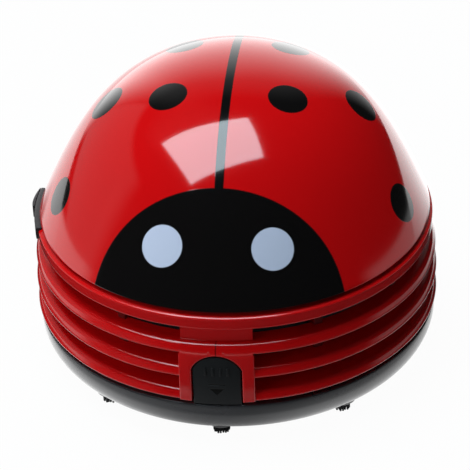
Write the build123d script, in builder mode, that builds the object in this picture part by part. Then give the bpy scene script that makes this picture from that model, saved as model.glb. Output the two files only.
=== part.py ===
from build123d import *
import os
from math import cos, radians, sin, tan

os.makedirs("parts", exist_ok=True)

# Frame: +Z up, Z = 0 is the table, the Z axis is the ring's axis.
# The head faces -Y, the switch is on the -X side.

# ---- louvre ring ----
fin_radius = 43.0          # outer radius of the lowest fin
fin_steps = (1.3, 0.4, 0.1, 0.0)  # how far each fin stands back, top to bottom
fin_count = 4
fin_pitch = 5.6
fin_face = 1.95            # height of a lower fin's face, which leans inwards
fin_lean = 0.85            # how far that face leans over its height
fin_lip = 2.65             # height of the top fin's upright face
fin_depth = 4.4            # how far a fin reaches inwards
fin_rise = 0.9             # the louvre climbs this much from its edge inwards
fin_edge = 0.25            # rounding of a fin's outer edge
fin_trim = 0.17            # what that rounding takes off a fin's sharp corner
fin_shoulder = 1.2         # rounding between a fin's face and its top
lip_edge = 0.35            # rounding of the top fin's edges
fin_gap = 1.05             # shadow gap between the lowest fin and the tray's band
rib_depth = 1.9            # how far the ribs reach inside the fins
rib_lap = 0.8              # ribs reach this far into the fins
rib_width = 2.0
rib_spacing = 30.0
rib_foot_gap = 0.5         # ribs end this far above the tray's wall
seat_groove = 1.05         # shadow groove under the dome's foot
seat_lap = 1.0             # width of the ledge that carries the dome
spigot_height = 1.3
spigot_clear = 0.3
panel_half_angle = 10.2    # solid front panel between the slots
panel_wall = 3.4
panel_proud = 0.05         # the panel covers the fins' edges by this much
recess_depth = 1.2         # the closed stretch of the top slot stands back
recess_wall = 1.2

# ---- dome ----
dome_step = 1.8            # the dome's foot stands inside the lowest fin
dome_height = 30.3
dome_wall = 1.8
dome_foot_lean = 25.0      # degrees from vertical at the foot
dome_flank_pull = 21.8     # how long the flank keeps its lean
dome_crown_pull = 24.2     # how flat the crown is
dome_back_lean = 0.172     # backward shift per unit of height

# ---- dust tray ----
tray_band_top = 9.9
tray_step = 0.5            # the tray's band stands inside the lowest fin
tray_clear = 1.6           # underside above the table
tray_corner = 6.0
tray_wall = 1.8
tray_floor = 1.6
filter_seat = 1.4          # width of the lip that carries the filter
tray_lip_thick = 1.6
upstand_wall = 1.4
upstand_height = 2.7
upstand_clear = 0.6        # to the ring's skirt, which tips past it
skirt_wall = 1.3           # ring's skirt, stands on the tray's shoulder
inlet_radius = 9.0
inlet_wall = 1.4
inlet_height = 4.6         # tube above the tray's floor
tuft_count = 9
tuft_inset = 5.1           # from the tray's band to a tuft's axis
tuft_radius = 1.75
tuft_root = 2.4            # length of a tuft inside its boss
tuft_boss_wall = 1.2
tuft_fit = 0.03

# ---- hinge at the back ----
hinge_inset = 2.0          # from the lowest fin to the hinge's axis
hinge_lift = 1.45          # above the tray's shoulder
hinge_stub_radius = 0.9
hinge_fit = 0.05
hinge_wall = 0.9
hinge_barrel_half = 7.0
hinge_ear_thick = 2.6
hinge_side_gap = 0.25
stub_reach = 2.4
ear_root = 0.8             # the ears go this deep into the tray's shoulder
notch_depth = 0.4          # the ring's notches for the ears pass its skirt by this
relief_gap = 0.3
relief_depth = 1.0
relief_rise = 0.5

# ---- release tab ----
tab_half_width = 4.85
tab_arch_rise = 3.2
tab_top = 21.8
tab_thick = 1.6
tab_foot_gap = 0.25
window_clear = 0.3
arrow_bar_half = 1.75
arrow_bar_height = 0.35
arrow_bar_z = 15.1
arrow_half = 1.5
arrow_top_z = 14.2
arrow_tip_z = 12.6
mark_depth = 0.25
cut_reach = 5.0            # cutting tools run this far past what they cut
grip_count = 4
grip_pitch = 1.5
grip_height = 2.0
grip_width = 0.5
grip_z = 18.3
grip_proud = 0.2

# ---- thumb switch ----
knob_angle = -90.3         # middle of the knob, degrees from the front towards +X
knob_half_angle = 5.0
knob_crest = 0.46          # highest point, as a share of the way to the front end
knob_tip = 0.15            # thickness at the back end
knob_nose = 0.45           # thickness at the front end
knob_travel = 8.0          # degrees, towards the front
knob_proud = 0.75          # how far the knob stands out of its plate
plate_thick = 1.6
plate_front_angle = -73.4
plate_back_angle = -95.5
plate_clear = 0.15
plate_end_gap = 0.3        # degrees between the plate's ends and its pocket
pocket_lap = 0.1
stem_room = 1.5            # degrees of wall left behind the plate's ends
knob_clear = 0.1
knob_low = 28.4
knob_height = 2.7
stem_half_angle = 1.6
stem_clear = 0.3
stem_fit = 0.15            # above and below the stem in its slot
stem_height = 1.0
stem_inset = 0.5           # the stem ends this far inside the ribs
switch_inset = 1.0         # the switch's face, clear of the stem over its travel
switch_body_thick = 4.6
switch_body_length = 11.0
switch_body_height = 5.0
switch_edge = 0.4
pole_spread = 3.0          # from the switch's middle to one of its poles
switch_shelf_step = 1.0    # the shelf under the switch stands in from its edges

# ---- cells ----
cell_radius = 7.1
cell_length = 49.5         # without the nub
nub_radius = 2.75
nub_height = 1.0
cell_motor_gap = 2.15      # from the motor's flat side to a cell
cell_clear = 0.25
cell_lift = 0.5
cell_edge = 0.5
contact_thick = 0.4
contact_height = 9.0
contact_width = 7.0
contact_show = 0.6         # contacts stand this much above their wall
spring_length = 2.6        # room between a cell's flat end and its contact
spring_radius = 3.2
spring_wire = 0.6
spring_ease = 0.05

# ---- motor ----
motor_flat = 15.1
motor_width = 20.1
motor_length = 25.0
motor_can_wall = 0.7
endcap_length = 3.2
motor_fit = 0.2
boss_radius = 3.0
boss_length = 1.5
shaft_radius = 1.0
shaft_fit = 0.03
armature_radius = 6.3
armature_length = 14.0
terminal_size = 2.4
terminal_thick = 0.5
terminal_spread = 12.0
clamp_thick = 1.2
clamp_width = 8.0
clamp_foot = 6.0

# ---- deck, fan and shroud ----
deck_bottom = 22.6
deck_thick = 1.6
deck_clear = 0.4
cradle_wall = 1.2
cradle_inner_gap = 0.2
end_wall = 1.2
lug_radius = 3.0
lug_inset = 4.3            # from the ribs' inside to a lug's axis
lug_bottom = 19.2
lug_ribs = (2, 6, 10)      # the lugs stand at these ribs
lug_arm_width = 4.8
screw_radius = 1.1
screw_head_radius = 2.1
screw_head_height = 1.2
screw_bite = 1.5
screw_fit = 0.05
screw_tip_gap = 0.2
screw_seat_gap = 0.3
shroud_bottom = 13.5
shroud_thick = 1.2
shroud_eye = 12.0
impeller_inset = 6.4       # from the lugs' axes to the impeller's rim
impeller_gap = 0.8         # running gap to the deck and to the shroud
impeller_disc = 1.2
impeller_hub = 4.0
impeller_blades = 12
blade_thick = 0.9
blade_inner = 9.5
blade_sweep = 35.0         # degrees a blade leans back over its length
hub_overlap = 0.3

# ---- filter ----
filter_frame_width = 4.8
filter_frame_height = 3.0
filter_clear = 0.3
filter_bar = 1.6
bar_lap = 0.5
cloth_thick = 0.6
cloth_clear = 0.2
cloth_lift = 1.0

# ---- wires ----
wire_radius = 0.6
wire_rise = 1.6            # how far a wire stays off a cell
wire_offset = 2.5          # from a contact's middle to its wire
wire_gap = 0.05
wire_bow = 0.75            # a wire's middle, as a share of the cell's distance
wire_back = 0.4            # and as a share of the contact's distance

# ======== heights and radii that follow ========
fin_low = [tray_band_top + fin_gap + fin_pitch * (fin_count - 1 - i) for i in range(fin_count)]
fin_high = [low + fin_face for low in fin_low]
fin_out = [fin_radius - step for step in fin_steps]
fin_inner = fin_radius - fin_depth
rib_inner_radius = fin_inner - rib_depth
rib_outer = fin_inner + rib_lap
lug_angles = [rib * rib_spacing for rib in lug_ribs]
dome_foot_radius = fin_radius - dome_step
tray_band_radius = fin_radius - tray_step
tuft_circle = tray_band_radius - tuft_inset
hinge_y = fin_radius - hinge_inset
hinge_z = tray_band_top + hinge_lift
knob_radius = fin_radius
plate_radius = knob_radius - knob_proud
stem_inner_radius = rib_inner_radius - stem_inset
switch_face_x = stem_inner_radius - switch_inset
lug_circle = rib_inner_radius - lug_inset
impeller_radius = lug_circle - impeller_inset
ring_top = fin_low[0] + fin_lip
dome_foot_z = ring_top + seat_groove
skirt_outer = fin_inner + skirt_wall
upstand_outer = fin_inner - upstand_clear
upstand_inner = upstand_outer - upstand_wall
upstand_top = tray_band_top + upstand_height
tray_lip_radius = upstand_inner - filter_seat
deck_top = deck_bottom + deck_thick
deck_radius = rib_inner_radius - deck_clear
tray_inner_floor = tray_clear + tray_floor
impeller_top = deck_bottom - impeller_gap
impeller_low = shroud_bottom + shroud_thick + impeller_gap
cell_z = deck_top + cell_lift + cell_radius
motor_side = motor_flat / 2 + motor_fit
cell_x = motor_side + cell_motor_gap + cell_radius
motor_top = deck_top + motor_length


def around(angle, radius, height=0.0):
    """Point at an angle from the front (-Y), growing towards +X."""
    return Vector(radius * sin(radians(angle)), -radius * cos(radians(angle)), height)


def wedge(angle_from, angle_to, reach):
    """Flat triangle from the axis that covers an angle range, for Plane.XY sketches."""
    middle = (angle_from + angle_to) / 2
    far = reach / cos(radians(angle_to - angle_from) / 2)
    return [Vector(0, 0), around(angle_from, far), around(middle, far), around(angle_to, far)]


def save(part, name):
    part.label = name
    export_step(part, f"parts/{name}.step")


def box_block(x_from, x_to, y_from, y_to, z_from, z_to, mode=Mode.ADD):
    """Adds a block between corners to the part that is being built."""
    middle = ((x_from + x_to) / 2, (y_from + y_to) / 2, (z_from + z_to) / 2)
    with Locations(middle):
        Box(x_to - x_from, y_to - y_from, z_to - z_from, mode=mode)


def ring_block(inner, outer, z_from, z_to, mode=Mode.ADD):
    """Adds a flat-sided ring about the Z axis."""
    with BuildSketch(Plane.XY.offset(z_from)) as flat:
        Circle(outer)
        Circle(inner, mode=Mode.SUBTRACT)
    extrude(flat.sketch, amount=z_to - z_from, mode=mode)


def arc_block(inner, outer, angle_from, angle_to, z_from, z_to, mode=Mode.ADD):
    """Adds a stretch of a ring between two angles."""
    with BuildSketch(Plane.XY.offset(z_from)) as flat:
        with BuildLine():
            Polyline(wedge(angle_from, angle_to, outer * 1.5), close=True)
        make_face()
        Circle(outer, mode=Mode.INTERSECT)
        Circle(inner, mode=Mode.SUBTRACT)
    extrude(flat.sketch, amount=z_to - z_from, mode=mode)


# ======== dome cover ========
def dome_solid(foot_radius, height, flank_pull, crown_pull):
    """Upright dome: a flank that leans in at the foot and a flat crown."""
    lean = radians(dome_foot_lean)
    foot = (foot_radius, dome_foot_z)
    flank = (foot_radius - flank_pull * sin(lean), dome_foot_z + flank_pull * cos(lean))
    top_z = dome_foot_z + height
    with BuildPart() as dome:
        with BuildSketch(Plane.XZ):
            with BuildLine():
                Bezier([foot, flank, (crown_pull, top_z), (0, top_z)])
                Line((0, top_z), (0, dome_foot_z))
                Line((0, dome_foot_z), foot)
            make_face()
        revolve(axis=Axis.Z)
    return dome.part


dome_wall_flat = dome_wall / cos(radians(dome_foot_lean))
dome_inner_radius = dome_foot_radius - dome_wall_flat
outer_dome = dome_solid(dome_foot_radius, dome_height, dome_flank_pull, dome_crown_pull)
inner_dome = dome_solid(
    dome_inner_radius, dome_height - dome_wall, dome_flank_pull - dome_wall / 2,
    dome_crown_pull - dome_wall / 2,
)
with BuildPart() as upright_dome:
    add(outer_dome)
    add(inner_dome, mode=Mode.SUBTRACT)
# The crown leans back: every height is shifted towards +Y in proportion.
back_shift = Matrix(
    [
        [1, 0, 0, 0],
        [0, 1, dome_back_lean, -dome_back_lean * dome_foot_z],
        [0, 0, 1, 0],
    ]
)
with BuildPart() as dome_cover:
    add(upright_dome.part.transform_geometry(back_shift))
save(dome_cover.part, "dome_cover")

# ======== louvre ring ========
seat_inner = dome_foot_radius - dome_wall_flat
seat_outer = seat_inner + seat_lap
spigot_outer = seat_inner - spigot_height * tan(radians(dome_foot_lean)) - spigot_clear
arch_radius = (tab_half_width**2 + tab_arch_rise**2) / (2 * tab_arch_rise)


def arched_face(clear):
    """Tombstone outline of the release tab, grown by a clearance, on the XZ plane."""
    half = tab_half_width + clear
    spring_z = tab_top - tab_arch_rise
    low_z = tray_band_top + tab_foot_gap - clear * 4
    with BuildSketch(Plane.XZ) as outline:
        with BuildLine():
            Line((-half, spring_z), (-half, low_z))
            Line((-half, low_z), (half, low_z))
            Line((half, low_z), (half, spring_z))
            ThreePointArc((half, spring_z), (0, tab_top + clear), (-half, spring_z))
        make_face()
    return outline.sketch


with BuildPart() as louvre_ring:
    # top fin: upright face, top and underside climbing inwards
    with BuildSketch(Plane.XZ):
        with BuildLine():
            Polyline(
                (fin_out[0], fin_low[0]),
                (fin_out[0], ring_top),
                (fin_inner, ring_top + fin_rise),
                (fin_inner, fin_low[0] + fin_rise),
                close=True,
            )
        make_face()
    revolve(axis=Axis.Z)
    lip_edges = louvre_ring.edges().filter_by(
        lambda e: e.geom_type == GeomType.CIRCLE and abs(e.radius - fin_out[0]) < fin_gap / 100
    )
    fillet(lip_edges, lip_edge)
    # lower fins: louvre blades with a leaning face and a soft shoulder
    for out, low in zip(fin_out[1:], fin_low[1:]):
        with BuildSketch(Plane.XZ) as blade:
            with BuildLine():
                Polyline(
                    (out + fin_trim, low),
                    (out - fin_lean, low + fin_face),
                    (fin_inner, low + fin_face + fin_rise),
                    (fin_inner, low + fin_rise),
                    close=True,
                )
            make_face()
            corners = blade.vertices().sort_by(Axis.X)
            fillet(corners[-1], fin_edge)
            corners = blade.vertices().filter_by(
                lambda v: abs(v.X - out + fin_lean) < fin_gap / 100
            )
            fillet(corners, fin_shoulder)
        revolve(axis=Axis.Z)
    # top band, dome seat and spigot
    ring_block(rib_inner_radius, fin_out[0] - 2 * lip_edge, fin_low[0] + fin_rise, ring_top)
    ring_block(rib_inner_radius, seat_outer, ring_top - lip_edge, dome_foot_z)
    ring_block(rib_inner_radius, spigot_outer, dome_foot_z, dome_foot_z + spigot_height)
    # skirt that stands on the tray's shoulder
    ring_block(fin_inner, skirt_outer, tray_band_top, fin_high[-1])
    # ribs behind the slots
    for step in range(1, int(360 / rib_spacing)):
        rib_angle = step * rib_spacing
        with BuildSketch(Plane.XY.offset(upstand_top + rib_foot_gap)):
            with Locations(Location(around(rib_angle, (rib_inner_radius + rib_outer) / 2), rib_angle)):
                Rectangle(rib_width, rib_outer - rib_inner_radius)
        extrude(amount=ring_top - upstand_top - rib_foot_gap)
    # front panel, flush with the fins, and the closed stretch of the top slot
    panel_inner = fin_out[-1] - panel_wall
    with BuildSketch(Plane.XZ.rotated((0, 0, -90 - panel_half_angle))):
        with BuildLine():
            Polyline(
                (panel_inner, fin_low[3]),
                (fin_out[3] + panel_proud, fin_low[3]),
                (fin_out[2] + panel_proud, fin_low[2] + fin_edge),
                (fin_out[1] - panel_proud, fin_low[1] + fin_edge),
                (panel_inner, fin_low[1] + fin_edge + fin_rise),
                close=True,
            )
        make_face()
    revolve(axis=Axis.Z, revolution_arc=2 * panel_half_angle)
    arc_block(
        fin_out[0] - recess_depth - recess_wall, fin_out[0] - recess_depth, -panel_half_angle,
        panel_half_angle, fin_low[1] + fin_face / 2, fin_low[0] + fin_face / 2,
    )
    # lugs that carry the deck and the shroud
    for lug_angle in lug_angles:
        with BuildSketch(Plane.XY.offset(lug_bottom)):
            with Locations(around(lug_angle, lug_circle)):
                Circle(lug_radius)
            with Locations(Location(around(lug_angle, (lug_circle + rib_outer) / 2), lug_angle)):
                Rectangle(lug_arm_width, rib_outer - lug_circle)
        extrude(amount=deck_bottom - lug_bottom)
        with BuildSketch(Plane.XY.offset(lug_bottom)):
            with Locations(around(lug_angle, lug_circle)):
                Circle(screw_radius + screw_fit)
        extrude(amount=deck_bottom - lug_bottom, mode=Mode.SUBTRACT)
    # window for the release tab, through the panel and the fins' foot
    extrude(arched_face(window_clear), amount=fin_radius + cut_reach, mode=Mode.SUBTRACT)
    # room for the tray's ears
    for side in (-1, 1):
        near = hinge_barrel_half
        far = hinge_barrel_half + hinge_ear_thick + 2 * hinge_side_gap
        box_block(
            min(side * near, side * far), max(side * near, side * far),
            fin_inner - notch_depth, fin_radius + cut_reach, tray_clear, fin_high[-1] + fin_rise,
            mode=Mode.SUBTRACT,
        )
    # hinge barrel at the back
    with BuildSketch(Plane.YZ.offset(-hinge_barrel_half)):
        with Locations((hinge_y, hinge_z)):
            Circle(hinge_stub_radius + hinge_fit + hinge_wall)
    extrude(amount=2 * hinge_barrel_half)
    with BuildSketch(Plane.YZ.offset(-hinge_barrel_half)):
        with Locations((hinge_y, hinge_z)):
            Circle(hinge_stub_radius + hinge_fit)
    extrude(amount=2 * hinge_barrel_half, mode=Mode.SUBTRACT)
    # pocket for the switch plate and its stem
    pocket_inner = plate_radius - plate_thick - plate_clear
    arc_block(
        pocket_inner, fin_radius + cut_reach, plate_back_angle - plate_end_gap,
        plate_front_angle + plate_end_gap,
        knob_low - plate_clear, dome_foot_z, mode=Mode.SUBTRACT,
    )
    arc_block(
        rib_inner_radius - cut_reach, pocket_inner + pocket_lap, plate_back_angle + stem_room,
        plate_front_angle - stem_room,
        knob_low, ring_top, mode=Mode.SUBTRACT,
    )
save(louvre_ring.part, "louvre_ring")

# ======== dust tray ========
with BuildPart() as base_tray:
    # outside: band, rounded foot, flat underside; inside: floor and wall
    inner_wall = tray_band_radius - tray_wall
    inner_corner = tray_corner - tray_wall
    with BuildSketch(Plane.XZ):
        with BuildLine():
            Line((inlet_radius, tray_clear), (tray_band_radius - tray_corner, tray_clear))
            RadiusArc(
                (tray_band_radius - tray_corner, tray_clear),
                (tray_band_radius, tray_clear + tray_corner), -tray_corner,
            )
            Polyline(
                (tray_band_radius, tray_clear + tray_corner),
                (tray_band_radius, tray_band_top),
                (upstand_outer, tray_band_top),
                (upstand_outer, upstand_top),
                (upstand_inner, upstand_top),
                (upstand_inner, tray_band_top),
                (tray_lip_radius, tray_band_top),
                (tray_lip_radius, tray_band_top - tray_lip_thick),
                (inner_wall, tray_band_top - tray_lip_thick),
                (inner_wall, tray_inner_floor + inner_corner),
            )
            RadiusArc(
                (inner_wall, tray_inner_floor + inner_corner),
                (inner_wall - inner_corner, tray_inner_floor), inner_corner,
            )
            Polyline(
                (inner_wall - inner_corner, tray_inner_floor),
                (inlet_radius + inlet_wall, tray_inner_floor),
                (inlet_radius + inlet_wall, tray_inner_floor + inlet_height),
                (inlet_radius, tray_inner_floor + inlet_height),
                (inlet_radius, tray_clear),
            )
        make_face()
    revolve(axis=Axis.Z)
    # bosses and sockets for the bristle tufts
    with BuildSketch(Plane.XY.offset(tray_clear + tray_floor / 2)):
        with PolarLocations(tuft_circle, tuft_count, start_angle=-90):
            Circle(tuft_radius + tuft_boss_wall)
    extrude(amount=tray_floor / 2 + tuft_root)
    with BuildSketch(Plane.XY):
        with PolarLocations(tuft_circle, tuft_count, start_angle=-90):
            Circle(tuft_radius + tuft_fit)
    extrude(amount=tray_clear + tuft_root + tuft_fit, mode=Mode.SUBTRACT)
    # hinge ears with stubs that turn in the ring's barrel
    ear_radius = hinge_stub_radius + hinge_fit + hinge_wall
    for side in (-1, 1):
        near = hinge_barrel_half + hinge_side_gap
        start = near if side > 0 else -near - hinge_ear_thick
        with BuildSketch(Plane.YZ.offset(start)):
            with Locations((hinge_y, hinge_z)):
                Circle(ear_radius)
            with Locations((hinge_y, (hinge_z + tray_band_top - ear_root) / 2)):
                Rectangle(2 * ear_radius, hinge_z - tray_band_top + ear_root)
        extrude(amount=hinge_ear_thick)
        stub_from = near - stub_reach if side > 0 else -near - hinge_ear_thick / 2
        with BuildSketch(Plane.YZ.offset(stub_from)):
            with Locations((hinge_y, hinge_z)):
                Circle(hinge_stub_radius)
        extrude(amount=stub_reach + hinge_ear_thick / 2)
    # nothing of the ears stands out past the fins
    Cylinder(fin_radius, 4 * hinge_z, mode=Mode.INTERSECT)
    # relief in the shoulder for the ring's back edge as it tips
    box_block(
        -hinge_barrel_half, hinge_barrel_half, hinge_y - ear_radius - relief_gap,
        fin_radius + cut_reach, tray_band_top - relief_depth, tray_band_top + relief_rise,
        mode=Mode.SUBTRACT,
    )
save(base_tray.part, "base_tray")

# ======== bristle tufts ========
with BuildPart() as bristle_tufts:
    with BuildSketch(Plane.XY):
        with PolarLocations(tuft_circle, tuft_count, start_angle=-90):
            Circle(tuft_radius)
    extrude(amount=tray_clear + tuft_root)
save(bristle_tufts.part, "bristle_tufts")

# ======== release tab ========
tab_low = tray_band_top + tab_foot_gap
with BuildPart() as release_tab:
    extrude(arched_face(0), amount=fin_radius + cut_reach)
    ring_block(tray_band_radius - tab_thick, tray_band_radius, tab_low, tab_top, mode=Mode.INTERSECT)
    # sunk arrow: a bar over a triangle that points down
    with BuildSketch(Plane.XZ.offset(tray_band_radius - mark_depth)):
        with Locations((0, arrow_bar_z)):
            Rectangle(2 * arrow_bar_half, arrow_bar_height)
        with BuildLine():
            Polyline((-arrow_half, arrow_top_z), (arrow_half, arrow_top_z), (0, arrow_tip_z), close=True)
        make_face()
    extrude(amount=2, mode=Mode.SUBTRACT)
    # raised grip bars for the thumb
    with BuildSketch(Plane.XZ.offset(tray_band_radius - tab_thick / 2)):
        with Locations((0, grip_z)):
            with GridLocations(grip_pitch, 1, grip_count, 1):
                Rectangle(grip_width, grip_height)
    extrude(amount=tab_thick / 2 + grip_proud)
save(release_tab.part, "release_tab")

# ======== thumb switch ========
slot_from = knob_angle - stem_half_angle - stem_clear
slot_to = knob_angle + knob_travel + stem_half_angle + stem_clear
stem_low = knob_low + (knob_height - stem_height) / 2
with BuildPart() as switch_plate:
    arc_block(
        plate_radius - plate_thick, plate_radius, plate_back_angle, plate_front_angle,
        knob_low, knob_low + knob_height,
    )
    arc_block(
        plate_radius - plate_thick - cut_reach, plate_radius + cut_reach, slot_from, slot_to,
        stem_low - stem_fit, stem_low + stem_height + stem_fit, mode=Mode.SUBTRACT,
    )
save(switch_plate.part, "switch_plate")

knob_inner = plate_radius + knob_clear
with BuildPart() as switch_knob:
    # lens shape: highest near its front end, thin at its back tip
    with BuildSketch(Plane.XY.offset(knob_low)):
        with BuildLine():
            back_tip = around(knob_angle - knob_half_angle, knob_inner + knob_tip)
            crest = around(knob_angle + knob_half_angle * knob_crest, knob_radius)
            front_tip = around(knob_angle + knob_half_angle, knob_inner + knob_nose)
            ThreePointArc(back_tip, crest, front_tip)
            Line(front_tip, around(knob_angle + knob_half_angle, knob_inner))
            ThreePointArc(
                around(knob_angle + knob_half_angle, knob_inner),
                around(knob_angle, knob_inner),
                around(knob_angle - knob_half_angle, knob_inner),
            )
            Line(around(knob_angle - knob_half_angle, knob_inner), back_tip)
        make_face()
    extrude(amount=knob_height)
    arc_block(
        stem_inner_radius, knob_inner + pocket_lap, knob_angle - stem_half_angle,
        knob_angle + stem_half_angle, stem_low, stem_low + stem_height,
    )
save(switch_knob.part, "switch_knob")

with BuildPart() as switch_body:
    switch_y = around(knob_angle + knob_travel / 2, stem_inner_radius).Y
    switch_mid_z = knob_low + knob_height / 2
    box_block(
        -switch_face_x, -switch_face_x + switch_body_thick, switch_y - switch_body_length / 2,
        switch_y + switch_body_length / 2, switch_mid_z - switch_body_height / 2,
        switch_mid_z + switch_body_height / 2,
    )
    fillet(switch_body.edges().filter_by(Axis.Z), switch_edge)
save(switch_body.part, "switch_body")

# ======== battery deck ========
contact_y = (cell_length + nub_height + spring_length) / 2
cradle_outer = cell_x + cell_radius + cell_clear + cradle_wall
wall_y = contact_y + contact_thick
wall_half = contact_width / 2 + cradle_inner_gap + end_wall / 2
wall_top = cell_z + contact_height / 2 - contact_show
switch_shelf_top = switch_mid_z - switch_body_height / 2
clamp_screw_y = motor_width / 2 + clamp_thick + clamp_foot / 2
screw_tip_deck = (lug_bottom + deck_bottom + screw_tip_gap) / 2
with BuildPart() as battery_deck:
    # floor plate
    with BuildSketch(Plane.XY.offset(deck_bottom)):
        Circle(deck_radius)
    extrude(amount=deck_thick)
    for side in (-1, 1):
        # cradle for one cell
        with BuildSketch(Plane.XY.offset(deck_top)):
            with Locations((side * (motor_side + cradle_outer) / 2, 0)):
                Rectangle(cradle_outer - motor_side, 2 * contact_y)
            Circle(deck_radius, mode=Mode.INTERSECT)
        extrude(amount=cell_z - deck_top - cell_lift)
        with BuildSketch(Plane.XZ.offset(-contact_y)):
            with Locations((side * cell_x, cell_z)):
                Circle(cell_radius + cell_clear)
        extrude(amount=2 * contact_y, mode=Mode.SUBTRACT)
        # end walls that back the contacts
        for end in (-1, 1):
            with BuildSketch(Plane.XY.offset(deck_top)):
                with Locations((side * cell_x, end * (wall_y + end_wall / 2))):
                    Rectangle(2 * wall_half, end_wall)
            extrude(amount=wall_top - deck_top)
    # shelf under the switch
    box_block(
        -switch_face_x + switch_shelf_step, -switch_face_x + switch_body_thick,
        switch_y - switch_body_length / 2 + switch_shelf_step, switch_y + switch_body_length / 2,
        deck_top, switch_shelf_top,
    )
    # hole for the motor's boss and holes for the screws
    with BuildSketch(Plane.XY.offset(deck_bottom)):
        Circle(boss_radius + motor_fit)
        for lug_angle in lug_angles:
            with Locations(around(lug_angle, lug_circle)):
                Circle(screw_radius + screw_fit)
        with Locations((0, -clamp_screw_y), (0, clamp_screw_y)):
            Circle(screw_radius + screw_fit)
    extrude(amount=deck_thick, mode=Mode.SUBTRACT)
    # clear of the screw heads under the cradles
    for lug_angle in lug_angles:
        with BuildSketch(Plane.XY.offset(deck_top)):
            with Locations(around(lug_angle, lug_circle)):
                Circle(screw_head_radius + screw_head_height / 2)
        extrude(amount=cell_z - deck_top, mode=Mode.SUBTRACT)
save(battery_deck.part, "battery_deck")

# ======== screws ========
with BuildPart() as deck_screws:
    for lug_angle in lug_angles:
        with BuildSketch(Plane.XY.offset(deck_top)):
            with Locations(around(lug_angle, lug_circle)):
                Circle(screw_head_radius)
        extrude(amount=screw_head_height)
        with BuildSketch(Plane.XY.offset(screw_tip_deck)):
            with Locations(around(lug_angle, lug_circle)):
                Circle(screw_radius)
        extrude(amount=deck_top - screw_tip_deck)
save(deck_screws.part, "deck_screws")

shroud_top = shroud_bottom + shroud_thick
screw_seat = shroud_top + screw_seat_gap
screw_tip_shroud = screw_tip_deck - screw_tip_gap
with BuildPart() as shroud_screws:
    for lug_angle in lug_angles:
        with BuildSketch(Plane.XY.offset(screw_seat - screw_head_height)):
            with Locations(around(lug_angle, lug_circle)):
                Circle(screw_head_radius)
        extrude(amount=screw_head_height)
        with BuildSketch(Plane.XY.offset(screw_seat)):
            with Locations(around(lug_angle, lug_circle)):
                Circle(screw_radius)
        extrude(amount=screw_tip_shroud - screw_seat)
save(shroud_screws.part, "shroud_screws")

clamp_foot_top = deck_top + clamp_thick
with BuildPart() as clamp_screws:
    for end in (-1, 1):
        with BuildSketch(Plane.XY.offset(clamp_foot_top)):
            with Locations((0, end * clamp_screw_y)):
                Circle(screw_head_radius)
        extrude(amount=screw_head_height)
        with BuildSketch(Plane.XY.offset(deck_bottom + screw_fit)):
            with Locations((0, end * clamp_screw_y)):
                Circle(screw_radius)
        extrude(amount=clamp_foot_top - deck_bottom - screw_fit)
save(clamp_screws.part, "clamp_screws")

# ======== fan shroud ========
with BuildPart() as fan_shroud:
    ring_block(shroud_eye, deck_radius, shroud_bottom, shroud_top)
    for lug_angle in lug_angles:
        with BuildSketch(Plane.XY.offset(shroud_top)):
            with Locations(around(lug_angle, lug_circle)):
                Circle(lug_radius + cell_clear)
        extrude(amount=lug_bottom - shroud_top)
        with BuildSketch(Plane.XY.offset(shroud_bottom)):
            with Locations(around(lug_angle, lug_circle)):
                Circle(screw_head_radius + filter_clear)
        extrude(amount=screw_seat - shroud_bottom, mode=Mode.SUBTRACT)
        with BuildSketch(Plane.XY.offset(shroud_bottom)):
            with Locations(around(lug_angle, lug_circle)):
                Circle(screw_radius + screw_fit)
        extrude(amount=lug_bottom - shroud_bottom, mode=Mode.SUBTRACT)
save(fan_shroud.part, "fan_shroud")

# ======== motor ========
can_length = motor_length - endcap_length
can_top = deck_top + can_length


def motor_outline(inset, z_from, z_to, mode=Mode.ADD):
    """Round body with two flats, set in from the can's outside."""
    with BuildSketch(Plane.XY.offset(z_from)) as flat:
        Circle(motor_width / 2 - inset)
        Rectangle(motor_flat - 2 * inset, motor_width, mode=Mode.INTERSECT)
    extrude(flat.sketch, amount=z_to - z_from, mode=mode)


with BuildPart() as motor_can:
    motor_outline(0, deck_top, can_top)
    motor_outline(motor_can_wall, deck_top + motor_can_wall, can_top, mode=Mode.SUBTRACT)
    with BuildSketch(Plane.XY.offset(deck_top - boss_length + screw_fit)):
        Circle(boss_radius)
    extrude(amount=boss_length)
    with BuildSketch(Plane.XY.offset(deck_bottom)):
        Circle(shaft_radius + shaft_fit)
    extrude(amount=deck_thick + motor_can_wall, mode=Mode.SUBTRACT)
save(motor_can.part, "motor_can")

shaft_top = motor_top - endcap_length / 3
with BuildPart() as motor_endcap:
    motor_outline(0, can_top, motor_top)
    with BuildSketch(Plane.XY.offset(can_top)):
        Circle(shaft_radius + shaft_fit)
    extrude(amount=shaft_top + shaft_fit - can_top, mode=Mode.SUBTRACT)
save(motor_endcap.part, "motor_endcap")

with BuildPart() as motor_terminals:
    for side in (-1, 1):
        middle = side * (terminal_spread / 2)
        box_block(
            middle - terminal_thick / 2, middle + terminal_thick / 2, -terminal_size / 2,
            terminal_size / 2, motor_top, motor_top + terminal_size,
        )
save(motor_terminals.part, "motor_terminals")

armature_low = deck_top + (can_length - armature_length) / 2
with BuildPart() as motor_armature:
    ring_block(shaft_radius + shaft_fit, armature_radius, armature_low, armature_low + armature_length)
save(motor_armature.part, "motor_armature")

shaft_low = impeller_low + screw_fit
with BuildPart() as motor_shaft:
    with BuildSketch(Plane.XY.offset(shaft_low)):
        Circle(shaft_radius)
    extrude(amount=shaft_top - shaft_low)
save(motor_shaft.part, "motor_shaft")

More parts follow.
